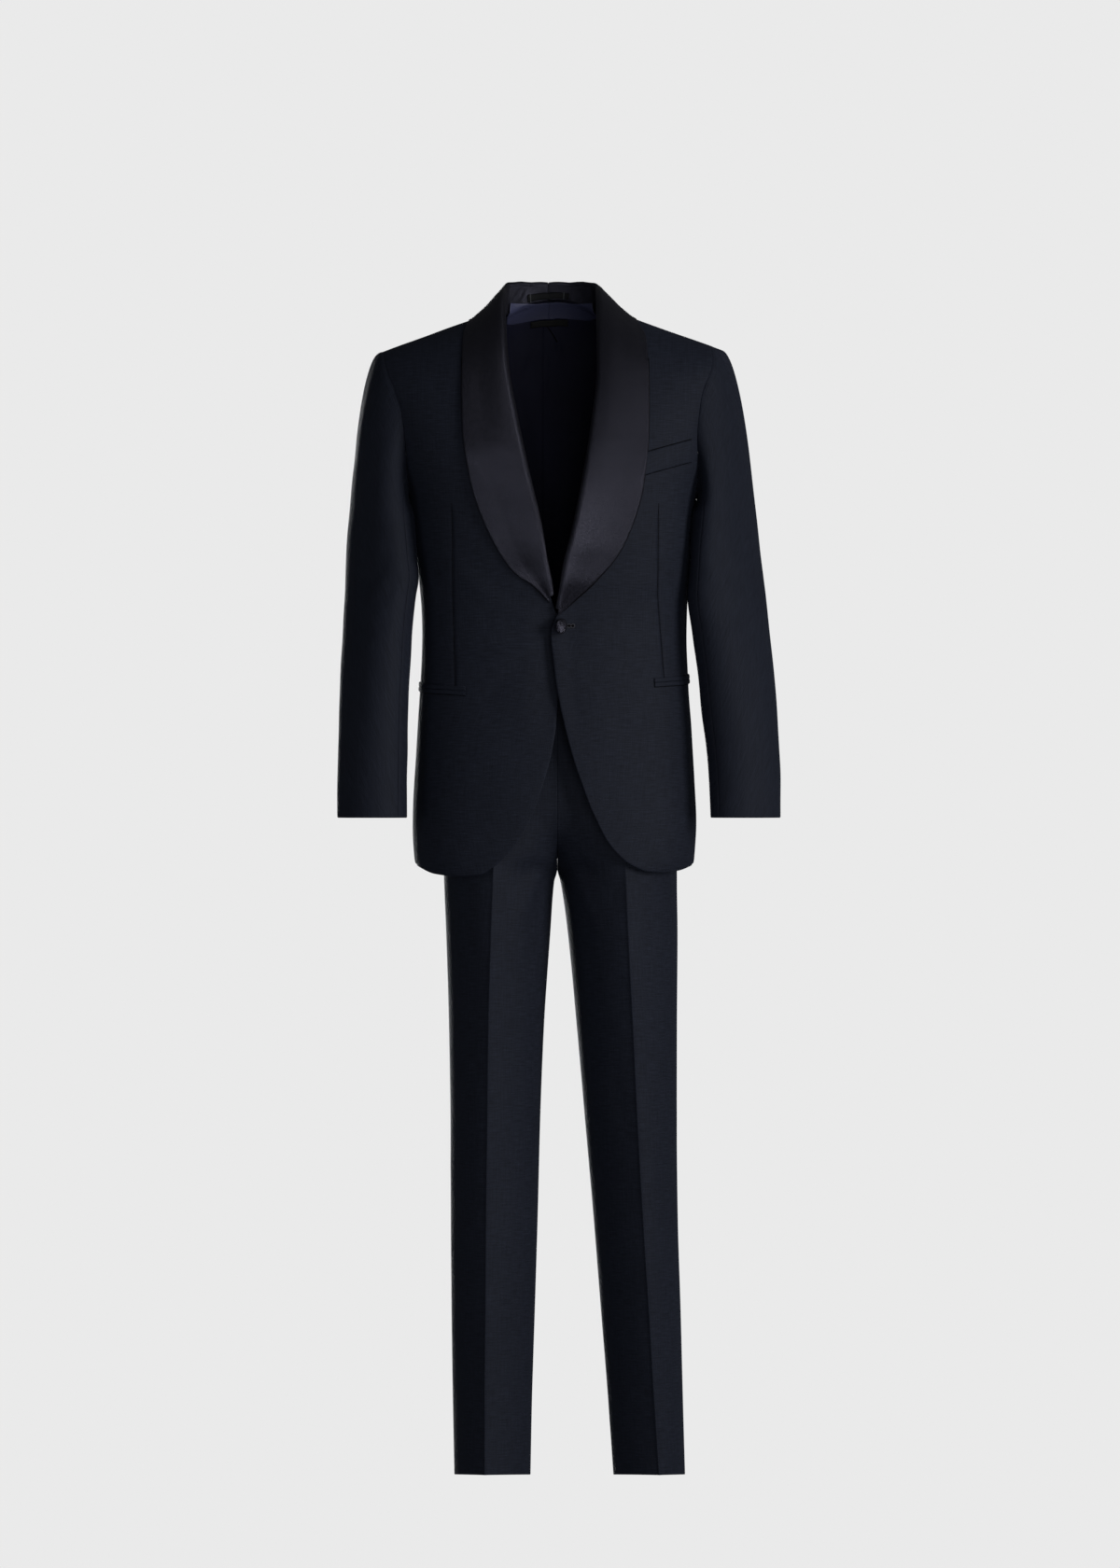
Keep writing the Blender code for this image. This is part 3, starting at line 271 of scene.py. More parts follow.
LEG_DEPTH = table(
    "level front back sharpness",
    (4780, -800, 780, 0.05), (5500, -860, 920, 0.12), (6200, -930, 1070, 0.22),
    (7000, -980, 1130, 0.38), (7650, -995, 1100, 0.5), (8350, -985, 1030, 0.58),
    (9600, -940, 930, 0.66), (10850, -890, 840, 0.72), (12100, -840, 790, 0.76),
    (13350, -800, 770, 0.78), (15600, -770, 750, 0.8),
    plain=("sharpness",),
)
RISE = table(
    "level front back",
    (4780, -830, 760), (5500, -890, 890), (6200, -940, 1010), (6650, -930, 1000), (6950, -840, 910),
    (7180, -630, 720), (7370, -310, 440), (7500, 100, 100), (8350, 80, 80), (15600, 0, 0),
)
OUTSEAM_DEPTH = 0.004
ROUNDING_START = 0.660

# Rows and columns of the fine shells


def finer(keys, step, ends=()):
    """Shares of a length: the keys with evenly spaced ones between, and close ones by both ends."""
    keys = np.asarray(keys, float)
    inner = []
    for start, end in zip(keys[:-1], keys[1:]):
        count = max(1, int(round(abs(end - start) / step)))
        inner.extend(start + (end - start) * np.arange(count) / count)
    inner = np.array([*inner, keys[-1]])
    low, high = inner.min(), inner.max()
    near = [low + end for end in ends] + [high - end for end in ends]
    margin = max(ends, default=0.0) * 1.3
    kept = inner[(inner > low + margin) & (inner < high - margin)]
    whole = np.unique(np.round([low, high, *near, *kept], 6))
    return whole if keys[-1] > keys[0] else whole[::-1]


RIM = (0.002, 0.0055, 0.011)
SHOULDER_ROWS = finer((0.001, 0.02, 0.07, 0.14, 0.23, 0.33, 0.44, 0.55, 0.66, 0.78, 0.90, 1.0), 0.028)
BODY_ROWS = finer((0.0, 1.0), 0.0105, RIM)[1:]
FRONT_COLUMNS = finer((0.0, 1.0), 0.015, RIM)
BACK_COLUMNS = finer((1.0, 0.57, 0.335, 0.275, 0.16, 0.0), 0.015, RIM)
SIDE_COLUMNS = finer((0.0, 1.0), 0.05, (0.008, 0.025, 0.05))


def bend(start, lead, end, trail, t):
    """A cubic curve between two points, with the slopes at both."""
    leaving, arriving = (1 - t) ** 2, t * t
    level = start * (1 + 2 * t) * leaving + lead * t * leaving
    return level + end * arriving * (3 - 2 * t) + trail * arriving * (t - 1)


def spline(keys, values, at):
    """Reads a smooth curve through the keys, which never overshoots them."""
    keys, values = np.asarray(keys, float), np.asarray(values, float)
    steps = np.diff(keys)
    rates = np.diff(values) / steps
    slopes = np.concatenate([rates[:1], np.zeros(len(keys) - 2), rates[-1:]])
    same_way = rates[:-1] * rates[1:] > 0
    total = np.where(same_way, rates[:-1] + rates[1:], 1.0)
    slopes[1:-1] = np.where(same_way, 2 * rates[:-1] * rates[1:] / total, 0.0)
    span = np.clip(np.searchsorted(keys, at) - 1, 0, len(keys) - 2)
    t = np.clip((at - keys[span]) / steps[span], 0.0, 1.0)
    lead, trail = slopes[span] * steps[span], slopes[span + 1] * steps[span]
    return bend(values[span], lead, values[span + 1], trail, t)


def column(rows, name):
    return [getattr(row, name) for row in rows]


def read(rows, name, at, key="level"):
    return spline(column(rows, key), column(rows, name), at)


def ease(value, start, end):
    """0 before start, 1 after end, and a smooth rise between them."""
    t = np.clip((value - start) / (end - start), 0.0, 1.0)
    return t * t * (3 - 2 * t)


def mix(a, b, share):
    return a + (b - a) * share


def stacked(x, y, z):
    return np.stack(np.broadcast_arrays(x, y, z), axis=-1)


def unit(vectors):
    return vectors / np.linalg.norm(vectors, axis=-1, keepdims=True)


ROOT_LEVELS = np.sqrt(column(TORSO, "level"))


def torso_value(name, root):
    return spline(ROOT_LEVELS, column(TORSO, name), np.abs(root))


def torso_height(x, root):
    """The height of a point of the torso, from its place across and the signed root of its level."""
    level = root * root
    beyond = np.abs(x) - NECK_POINT
    slope = torso_value("slope", root) * 0.5 * (beyond + np.sqrt(beyond**2 + 0.008**2))
    nape = np.clip(1 - (x / NAPE_HALF_WIDTH) ** 2, 0, None) ** 2
    nape = nape * ease(level, 0.0, NAPE_LEVEL) * (1 - ease(level, NAPE_LEVEL, NAPE_END))
    return -level - slope + NAPE_RISE * nape * (root < 0)


def torso_chart(x, root):
    """The torso over its place across and the root of its level: positive in front."""
    corner = torso_value("corner", root)
    share = np.abs(x - torso_value("shift", root)) / torso_value("half_width", root)
    swell = np.clip(1 - share**corner, 0.0, 1.0) ** (1 / corner)
    reach = np.where(root > 0, -torso_value("front", root), torso_value("back", root))
    return stacked(x, torso_value("middle", root) + reach * swell, torso_height(x, root))


def torso_ring(side, turn, root):
    """The torso over a turn, from 0 at the centre front to 1 at the centre back, on one side."""
    corner = torso_value("corner", root)
    sine, cosine = np.sin(pi * turn), np.cos(pi * turn)
    across = np.sign(sine) * np.abs(sine) ** (2 / corner)
    swell = np.abs(cosine) ** (2 / corner)
    x = torso_value("shift", root) + side * torso_value("half_width", root) * across
    reach = np.where(cosine > 0, -torso_value("front", root), torso_value("back", root))
    height = torso_height(x, np.where(cosine > 0, root, -root))
    return stacked(x, torso_value("middle", root) + reach * swell, height)


def moved_out(surface, u, v, distance, hand):
    """Points of a surface moved along its normal."""
    step = 1e-4
    across = surface(u + step, v) - surface(u - step, v)
    down = surface(u, v + step) - surface(u, v - step)
    normal = unit(np.cross(across, down)) * -hand
    return surface(u, v) + normal * np.asarray(distance)[..., None]


def overlap_lift(side, x, level):
    """How far the wearer's left front stands out where it lies over the right one."""
    if side < 0:
        return np.zeros(np.broadcast(x, level).shape)
    near = 1 - ease(x, *OVERLAP_ACROSS)
    return OVERLAP_LIFT * near * ease(level, *OVERLAP_TOP) * (1 - ease(level, *OVERLAP_FOOT))


def chart_point(side, x, root, distance):
    lift = overlap_lift(side, x, root * root) * (root > 0)
    return moved_out(torso_chart, x, root, distance + lift, 1)


def ring_point(side, turn, root, distance=0.0):
    x = torso_ring(side, turn, root)[..., 0]
    lift = overlap_lift(side, x, root * root) * (np.cos(pi * turn) > 0)
    return moved_out(lambda t, r: torso_ring(side, t, r), turn, root, distance + lift, side)


def turn_at(side, x, root):
    """The turn, in front, at a place across."""
    share = side * (x - torso_value("shift", root)) / torso_value("half_width", root)
    half = torso_value("corner", root) / 2
    return np.arcsin(np.sign(share) * np.clip(np.abs(share), 0, 1) ** half) / pi


def turn_reaching(reach, root, face):
    """The turn at which the torso reaches this far to the front (face 0) or back (face 1)."""
    depth = torso_value(("front", "back")[face], root)
    share = np.clip(reach / np.maximum(depth, 1e-6), 0, 1)
    turn = np.arccos(share ** (torso_value("corner", root) / 2)) / pi
    return 1 - turn if face else turn


def arm_reach(side, level, face):
    height = np.clip(1 - (1 - 2 * level / ARM_DEPTH) ** 2, 0, 1)
    return ARM_REACH[side][face] * np.sqrt(height)


def corner_root(side, face):
    """The root of the level where a side seam runs out into the armhole."""
    share = SIDE_SEAM_REACH[face] / ARM_REACH[side][face]
    return np.sqrt(ARM_DEPTH * 0.5 * (1 + np.sqrt(1 - share**2)))


def side_boundary(side, root, face):
    """The turn of the armhole, and below it of the side seam, on the front or the back."""
    above = root < corner_root(side, face) - 1e-6
    reach = np.where(above, arm_reach(side, root * root, face), SIDE_SEAM_REACH[face])
    return turn_reaching(reach, root, face)


def row_shares(side, face):
    """Rows down a front or back panel, as shares of the root of the hem's level."""
    corner = corner_root(side, face) / np.sqrt(SIDE_HEM)
    return np.concatenate([corner * SHOULDER_ROWS, corner + (1 - corner) * BODY_ROWS])


# Jacket body


def front_edge(side, level):
    """How far across a front reaches: along the roll of the collar, then its free edge."""
    roll = [(row.base_level, row.base_x) for row in COLLAR[side] if row.base_level > 0.001]
    levels, places = zip(*roll[::-1], *FRONT_EDGE[side])
    return spline(levels, places, level)


def front_hem(side, x):
    return read(FRONT_HEM[side], "level", side * x, key="across")


def front_panel(side, shares, share):
    """Points of a front: rows from the shoulder to the hem, columns from its edge to its side."""
    hem_root = np.full(share.shape[1], np.sqrt(SIDE_HEM))
    edge_end = np.sqrt(FRONT_EDGE[side][-1].level)
    for _ in range(6):
        turn = mix(
            turn_at(side, FRONT_EDGE[side][-1].x, edge_end),
            side_boundary(side, hem_root, 0),
            share[-1],
        )
        hem_root = np.sqrt(front_hem(side, torso_ring(side, turn, hem_root)[..., 0]))
    root = shares[:, None] * hem_root[None, :]
    start = turn_at(side, front_edge(side, root * root), root)
    turn = mix(start, side_boundary(side, root, 0), share)
    return ring_point(side, turn, root)


def neckline_root(side, x):
    """The signed root of the neckline's level behind the shoulders, at a place across."""
    rows = [row for row in COLLAR[side] if row.base_level < 0]
    signed = sorted((side * row.base_x, -np.sqrt(-row.base_level)) for row in rows)
    places, roots = zip(*signed, (NECK_POINT, 0.0))
    return spline(places, roots, side * x)


def back_panel(side, shares):
    """Points of a back: rows from the shoulder to the hem, columns from its side to the middle."""
    share = BACK_COLUMNS
    hem_root = np.sqrt(mix(BACK_HEM, SIDE_HEM, share**2))
    top_x = side * SHOULDER_REACH * share
    top_root = np.abs(neckline_root(side, top_x))
    top_turn = turn_at(side, top_x, np.maximum(top_root, 0.01))
    top_share = (top_turn - top_turn[-1]) / (top_turn[0] - top_turn[-1])
    root = top_root + (hem_root - top_root) * shares[:, None]
    place = mix(top_share[None, :], share[None, :], ease(shares, 0.0, 0.6)[:, None])
    middle = 1 - turn_at(side, 0 * root, root)
    turn = mix(middle, side_boundary(side, root, 1), place)
    return ring_point(side, turn, root)


def side_panel(side):
    """Points of the panel under an armhole, between the front and the back."""
    reach = mix(SIDE_SEAM_REACH[0], -SIDE_SEAM_REACH[1], SIDE_COLUMNS)
    arm = np.where(reach > 0, ARM_REACH[side][0], ARM_REACH[side][1])
    top = np.sqrt(ARM_DEPTH * 0.5 * (1 + np.sqrt(1 - (reach / arm) ** 2)))
    down = np.array([0.0, *BODY_ROWS])[:, None]
    root = mix(top[None, :], np.sqrt(SIDE_HEM), down)
    front = turn_reaching(np.maximum(reach, 0), root, 0)
    back = turn_reaching(np.maximum(-reach, 0), root, 1)
    return ring_point(side, np.where(reach > 0, front, back), root)


# Sleeves


def sleeve_section(side, angle, level):
    """A section below the armpit. The angle runs from the outer line round by the front."""
    outer = read(SLEEVES[side], "outer", level)
    inner = read(SLEEVES[side], "inner", level)
    skew = np.radians(read(SLEEVES[side], "skew", level))
    x = side * ((outer + inner) / 2 + (outer - inner) / 2 * np.cos(angle))
    half_depth = read(SLEEVES[side], "half_depth", level)
    y = read(SLEEVES[side], "middle", level) - half_depth * np.sin(angle - skew)
    return stacked(x, y, -level)


def armhole(side, angle):
    level = np.clip(ARM_DEPTH * 0.5 * (1 - np.cos(angle)), 1e-6, None)
    root = np.sqrt(level)
    reach = np.abs(np.sin(angle))
    front = turn_reaching(ARM_REACH[side][0] * reach, root, 0)
    back = turn_reaching(ARM_REACH[side][1] * reach, root, 1)
    return ring_point(side, np.where(np.sin(angle) > 0, front, back), root)


def sleeve_point(side, angle, along):
    """A sleeve: from the armhole at 0 over its head to the armpit's level at 1, to the cuff at 2."""
    top_level, cuff_level = SLEEVES[side][0].level, SLEEVES[side][-1].level
    angle, along = np.broadcast_arrays(angle, along)
    start = armhole(side, angle)
    end = sleeve_section(side, angle, top_level)
    reach = np.maximum(start[..., 2] - end[..., 2], 0.015)
    crown = ((1 + np.cos(angle)) / 2) ** 2
    lead = stacked(
        side * CAP_PUSH * mix(0.22, 1.0, crown),
        -0.012 * np.sin(angle),
        -reach * mix(0.40, 0.06, crown),
    )
    below = sleeve_section(side, angle, top_level + 0.02)
    trail = (below - end) / 0.02 * (reach * CAP_FALL)[..., None]
    cap = bend(start, lead, end, trail, np.clip(along, 0, 1)[..., None])
    arm = sleeve_section(side, angle, mix(top_level, cuff_level, np.clip(along - 1, 0, 1)))
    return np.where(along[..., None] > 1, arm, cap)


# Collar


def collar_value(side, station, name):
    rows = COLLAR[side]
    values = np.array(column(rows, name))
    if name.endswith("level"):
        values = np.sign(values) * np.sqrt(np.abs(values))
    return spline(np.linspace(0, 1, len(rows)), values, station)


def collar_lean(side, station):
    """Where the foot of the collar lies, and the level direction from it to the middle of the neck."""
    base_x, base_root = (collar_value(side, station, name) for name in ("base_x", "base_level"))
    foot = torso_chart(base_x, base_root)
    return foot, unit(stacked(NECK_SEAM - foot[..., 0], NECK_CENTRE - foot[..., 1], 0 * station))


def collar_fall(side, station, across):
    """The fall of the collar: from its outer edge at 0 to its fold at 1."""
    names = ("edge_x", "base_x", "edge_level", "base_level", "height", "stand")
    edge_x, base_x, edge_root, base_root, top, stand = (
        collar_value(side, station, name) for name in names
    )
    clear = COLLAR_CLEARANCE + COLLAR_WALL
    height = clear + (top - clear) * ease(across, 0.35, 1.0)
    x, root = mix(edge_x, base_x, across), mix(edge_root, base_root, across)
    lift = stand * across**2
    lean = collar_lean(side, station)[1]
    upwards = stacked(0 * lift, 0 * lift, lift)
    return chart_point(side, x, root, height) + lean * (STAND_LEAN * lift)[..., None] + upwards


def collar_foot(side, station):
    """The edge of the collar inside the jacket."""
    names = ("base_x", "base_level", "stand", "under", "sunk")
    x, root, stand, under, sunk = (collar_value(side, station, name) for name in names)
    inset = STAND_INSET * ease(stand, 0.0, STAND_START)
    foot = chart_point(side, x + side * under, root, -sunk)
    return foot + collar_lean(side, station)[1] * inset[..., None]


def collar_point(side, station, across):
    """The collar with its fold: past 1 it turns over at the fold, and past 2 runs down inside."""
    station, across = np.broadcast_arrays(station, across)
    step = 1e-3
    one = np.ones_like(across)
    fall = collar_fall(side, station, np.clip(across, 0, 1))
    fold = collar_fall(side, station, one)
    onward = fold - collar_fall(side, station, one - 0.02)
    along = collar_fall(side, np.clip(station + step, 0, 1), one)
    along = along - collar_fall(side, np.clip(station - step, 0, 1), one)
    straight = stacked(1 - ease(station, 0.85, 1.0), one, one)
    outwards = unit(np.cross(along, onward) * straight) * side
    onward = unit(np.cross(outwards, along) * straight) * side
    radius = collar_value(side, station, "radius")[..., None]
    turn = (np.clip(across - 1, 0, 1) * pi)[..., None]
    over = fold + radius * (onward * np.sin(turn) - outwards * (1 - np.cos(turn)))
    run = np.clip(across - 2, 0, 1)[..., None]
    inside = mix(over, collar_foot(side, station), run)
    return np.where(across[..., None] <= 1, fall, inside)


# Neck interior


def inside_back(x, down, depth):
    """A grid inside the backs: columns across at x, rows this far down the cloth from its top."""
    halves = [back_panel(side, row_shares(side, 1)) for side in (-1, 1)]
    back = np.concatenate([halves[0], halves[1][:, ::-1]], axis=1)
    inwards = unit(np.cross(np.gradient(back, axis=0), np.gradient(back, axis=1)))
    columns = []
    for place, (at, lengths) in enumerate(zip(x, down.T)):
        line = np.stack([np.interp(at, row[:, 0], np.arange(len(row))) for row in back])
        whole = np.minimum(line.astype(int), back.shape[1] - 2)
        part = (line - whole)[:, None]
        rows = np.arange(len(line))
        track = mix(back[rows, whole], back[rows, whole + 1], part)
        facing = mix(inwards[rows, whole], inwards[rows, whole + 1], part)
        length = path_length(track)
        point = [np.interp(lengths, length, track[:, axis]) for axis in range(3)]
        normal = unit(np.stack([np.interp(lengths, length, facing[:, axis]) for axis in range(3)], 1))
        columns.append(np.stack(point, 1) + normal * np.broadcast_to(depth, down.shape)[:, place, None])
    return np.stack(columns, axis=1)


def neck_places(side):
    """Places across, from the middle seam of the collar to the side of the neck."""
    ends = sorted((NECK_SEAM, NECK_SIDE[side]))
    return finer(ends, 0.0022, (0.0004, 0.0009))[::side]


def neck_facing(side):
    """Points of one half of the band that finishes the neck inside."""
    x = neck_places(side)
    down = mix(FACING_START, FACING_DEPTH, finer((0.0, 1.0), 0.06, (0.02, 0.04)))[:, None] + 0 * x
    return inside_back(x, down, JACKET_WALL + LINING_GAP)


def back_lining(side):
    """Points of one half of the back's lining. The wearer's left half laps over as a pleat."""
    start = NECK_SEAM - PLEAT_OVERLAP * (np.linspace(1, 0.1, 9) if side > 0 else np.zeros(0))
    ends = np.linspace(NECK_SIDE[side], side * LINING_HALF_WIDTH, 16)[1:]
    x = np.concatenate([start, neck_places(side), ends])
    down = mix(FACING_DEPTH, LINING_LENGTH, np.linspace(0, 1, 110) ** 1.3)[:, None] + 0 * x
    lap = PLEAT_LAP * (1 - ease(x, NECK_SEAM, NECK_SEAM + PLEAT_FADE)) * (side > 0)
    return inside_back(x, down, JACKET_WALL + LINING_GAP + lap)


def stand_place(x, above):
    """A place on the inside of the collar's stand: how far across, and how far above its foot."""
    side = -1 if x < NECK_SEAM else 1
    rows = COLLAR[side][-5:]
    keys = np.linspace(0, 1, len(COLLAR[side]))[-5:]
    station = spline(column(rows, "base_x")[::-side], keys[::-side], x)
    return collar_point(side, station, 3 - above / rows[-1].stand)


def neckwards(point):
    """The level direction from a place inside the collar into the opening of the neck."""
    return unit(np.array([NECK_SEAM - point[0], NECK_AIM - point[1], 0.0]))


# Pockets and button


def front_at(side, x, height_level, distance):
    """A point of the front's outer face at a place across and a height, moved out."""
    root = np.sqrt(height_level)
    for _ in range(6):
        low = height_level + torso_height(x, root) + root * root
        root = np.sqrt(np.clip(low, 1e-6, None))
    return chart_point(side, x, root, distance)


# Trousers


def leg_point(side, face, place, level):
    """A trouser leg's front (face -1) or back (1): -1 at the outseam, 0 at the crease, 1 inside."""
    place, level = np.broadcast_arrays(place, level)
    outside = place < 0
    crease_x = read(LEGS[side], "crease", level)
    outer_x = read(LEGS[side], "outer", level)
    end_x = np.where(outside, outer_x, read(LEGS[side], "inner", level))
    depth = read(LEG_DEPTH, "front" if face < 0 else "back", level)
    seam = read(RISE, "front" if face < 0 else "back", level)
    end_y = np.where(outside, OUTSEAM_DEPTH, seam)
    sharp = read(LEG_DEPTH, "sharpness", level)
    rounding = np.where(outside, 1.0, ease(level, ROUNDING_START, FORK))
    angle = np.abs(place) * pi / 2
    sine = np.sin(angle)
    share = mix(np.abs(place), sine, rounding)
    tube = np.sqrt(np.clip(1 - mix(sine**2, sine, sharp), 0, 1))
    fall = mix(np.cos(angle) ** 2, tube, rounding)
    return stacked(mix(crease_x, end_x, share), mix(end_y, depth, fall), -level)


# Shells of cloth

RIM_LEFT = 0.12  # the share of a wall's thickness that is left at a turned edge


def added(name, data):
    """A new object in the scene."""
    made = bpy.data.objects.new(name, data)
    bpy.context.scene.collection.objects.link(made)
    return made


def laid_over(made, node):
    """Ties a piece to the solid whose place it takes."""
    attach(made, "root")
    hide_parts(node)
    return made


def cloth_mesh(name, points, faces, cloths, flat=None):
    """A smooth mesh. Its UVs are the places of its points on the flat cloth."""
    mesh = bpy.data.meshes.new(name)
    mesh.from_pydata(points.reshape(-1, 3), [], faces)
    layer = mesh.uv_layers.new(name="cloth")
    if flat is not None:
        corner = np.empty(len(mesh.loops), dtype=np.int32)
        mesh.loops.foreach_get("vertex_index", corner)
        layer.data.foreach_set("uv", flat[corner].reshape(-1).astype(np.float32))
    for cloth in cloths:
        mesh.materials.append(cloth)
    mesh.shade_smooth()
    return mesh


def round_faces(index, loop=False):
    """The faces between rings of points. In a loop the last ring meets the first."""
    rings = np.concatenate([index, index[:1]]) if loop else index
    after = np.roll(rings, -1, axis=1)
    return np.stack([rings[:-1], after[:-1], after[1:], rings[1:]], axis=-1).reshape(-1, 4).tolist()


def path_length(track):
    """The distance to each point of a track from its first."""
    return np.concatenate([[0], np.cumsum(np.linalg.norm(np.diff(track, axis=0), axis=1))])


def outward(points, flip):
    normal = np.cross(np.gradient(points, axis=0), np.gradient(points, axis=1))
    return unit(normal) * (-1 if flip else 1)


def lengths(points, axis):
    """The distance along the cloth from the first row (axis 0) or column (axis 1)."""
    steps = np.linalg.norm(np.diff(points, axis=axis), axis=-1)
    pad = [(0, 0), (0, 0)]
    pad[axis] = (1, 0)
    return np.cumsum(np.pad(steps, pad), axis=axis)


def rim_share(points, rims):
    """The share of the wall's thickness at each point: less towards a turned edge."""
    share = np.ones(points.shape[:2])
    for axis, widths in enumerate((rims[:2], rims[2:])):
        along = lengths(points, axis)
        total = along.max(axis=axis, keepdims=True)
        for distance, width in zip((along, total - along), widths):
            if width > 0:
                t = np.clip(distance / width, 0, 1)
                share = np.minimum(share, np.sqrt(1 - (1 - t) ** 2))
    return mix(RIM_LEFT, 1.0, share)


def wall_faces(rows, columns, flip):
    """The faces of a closed wall: its visible side, then its back and its rim."""
    index = np.arange(rows * columns).reshape(rows, columns)
    quads = np.stack([index[:-1, :-1], index[1:, :-1], index[1:, 1:], index[:-1, 1:]], axis=-1)
    quads = quads.reshape(-1, 4)
    border = np.concatenate([index[0, :-1], index[:-1, -1], index[-1, :0:-1], index[:0:-1, 0]])
    after = np.roll(border, -1)
    rim = np.stack([border, after, after + index.size, border + index.size], axis=-1)
    if flip:
        quads, rim = quads[:, ::-1], rim[:, ::-1]
    return np.concatenate([quads, quads[:, ::-1] + index.size, rim])


def flat_places(points, zero, upright, level_grain):
    """Where each point lies on the flat cloth, with one of its columns at zero."""
    across = lengths(points, 1)
    across = across - across[:, zero : zero + 1]
    if upright:
        across = across + np.abs(points[:, zero, 0])[:, None] * (1 if zero == 0 else -1)
    height = points[..., 2] if upright or level_grain else -lengths(points, 0)
    return np.stack([across, height], axis=-1).reshape(-1, 2)


def shell(node, points, wall, cloths, flip, relief, rims, zero=0, inner=None,
          upright=False, level_grain=False):
    """A closed wall of cloth through a grid of points, with its relief, turned edges and UVs in metres.
    """
    relief = np.broadcast_to(relief, points.shape[:2])
    points = points + outward(points, flip) * relief[..., None]
    facing = outward(points, flip)
    left = rim_share(points, rims)
    outer = points - facing * (wall * (1 - left) / 2)[..., None]
    within = outer - facing * (wall * left)[..., None]
    faces = wall_faces(*points.shape[:2], flip)
    flat = np.tile(flat_places(points, zero, upright, level_grain), (2, 1))
    mesh = cloth_mesh(f"{node}_cloth", np.stack([outer, within]), faces.tolist(), cloths, flat)
    if inner is not None:
        lined = inner[:-1, :-1].reshape(-1)
        slots = np.zeros(len(faces), dtype=np.int32)
        slots[len(lined) : 2 * len(lined)] = lined
        mesh.polygons.foreach_set("material_index", slots)
    made = laid_over(added(f"{node}_cloth", mesh), node)
    return made


def thread(name, track, radius, cloth, node, owner, loop=False):
    """A round thread along a track of points; a loop joins its ends."""
    closed = np.concatenate([track[-1:], track, track[:1]]) if loop else track
    ahead = unit(np.gradient(closed, axis=0)[1:-1] if loop else np.gradient(closed, axis=0))
    level = unit(np.cross(ahead, np.array([0.31, 0.2, 0.93]) + 0 * ahead))
    other = np.cross(ahead, level)
    angle = np.linspace(0, 2 * pi, 11)[:-1]
    ring = np.cos(angle)[None, :, None] * level[:, None] + np.sin(angle)[None, :, None] * other[:, None]
    points = track[:, None] + ring * radius
    index = np.arange(points.size // 3).reshape(points.shape[:2])
    faces = round_faces(index, loop)
    faces += [] if loop else [index[0, ::-1].tolist(), index[-1].tolist()]
    made = added(name, cloth_mesh(name, points, faces, (cloth,)))
    made.parent = owner
    laid_over(made, node)


def creased(creases, across, height):
    """Soft troughs (depth below 0) and ridges, which run out at both ends.

    Each is its width, its depth and the places of its path, across and high, in mm.
    """
    relief = np.zeros(np.broadcast(across, height).shape)
    for width, depth, *path in creases:
        path = np.reshape(path, (-1, 2)) / 1000
        keys = np.linspace(0, 1, len(path))
        t = np.linspace(0, 1, 48)
        trail = np.stack([spline(keys, path[:, 0], t), spline(keys, path[:, 1], t)], axis=-1)
        best = np.full(relief.shape, np.inf)
        share = np.zeros(relief.shape)
        for (x, z), at in zip(trail, t):
            far = np.hypot(across - x, height - z)
            share = np.where(far < best, at, share)
            best = np.minimum(far, best)
        relief += depth / 1000 * np.exp(-((best / (width / 1000)) ** 2)) * np.sin(pi * share) ** 0.7
    return relief


# The seed of each kind of piece, the height of its unevenness, and its shortest and longest waves
WAVES = {
    "front": (11, 0.0007, 0.05, 0.16),
    "back": (21, 0.0008, 0.05, 0.16),
    "side": (31, 0.0005, 0.05, 0.16),
    "sleeve": (41, 0.0009, 0.05, 0.16),
    "collar": (51, 0.0006, 0.05, 0.13),
    "leg": (61, 0.001, 0.06, 0.2),
}
WAVE_COUNT = 8


def unevenness(across, height, kind, number):
    """The slow unevenness of pressed cloth."""
    seed, size, shortest, longest = WAVES[kind]
    draw = np.random.default_rng(seed + number)
    total = np.zeros(np.broadcast(across, height).shape)
    for _ in range(WAVE_COUNT):
        turn, phase = draw.uniform(0, pi), draw.uniform(0, 2 * pi)
        wave = 2 * pi / draw.uniform(shortest, longest)
        total += np.sin((across * np.cos(turn) + height * np.sin(turn)) * wave + phase)
    return total * size / WAVE_COUNT


# Materials


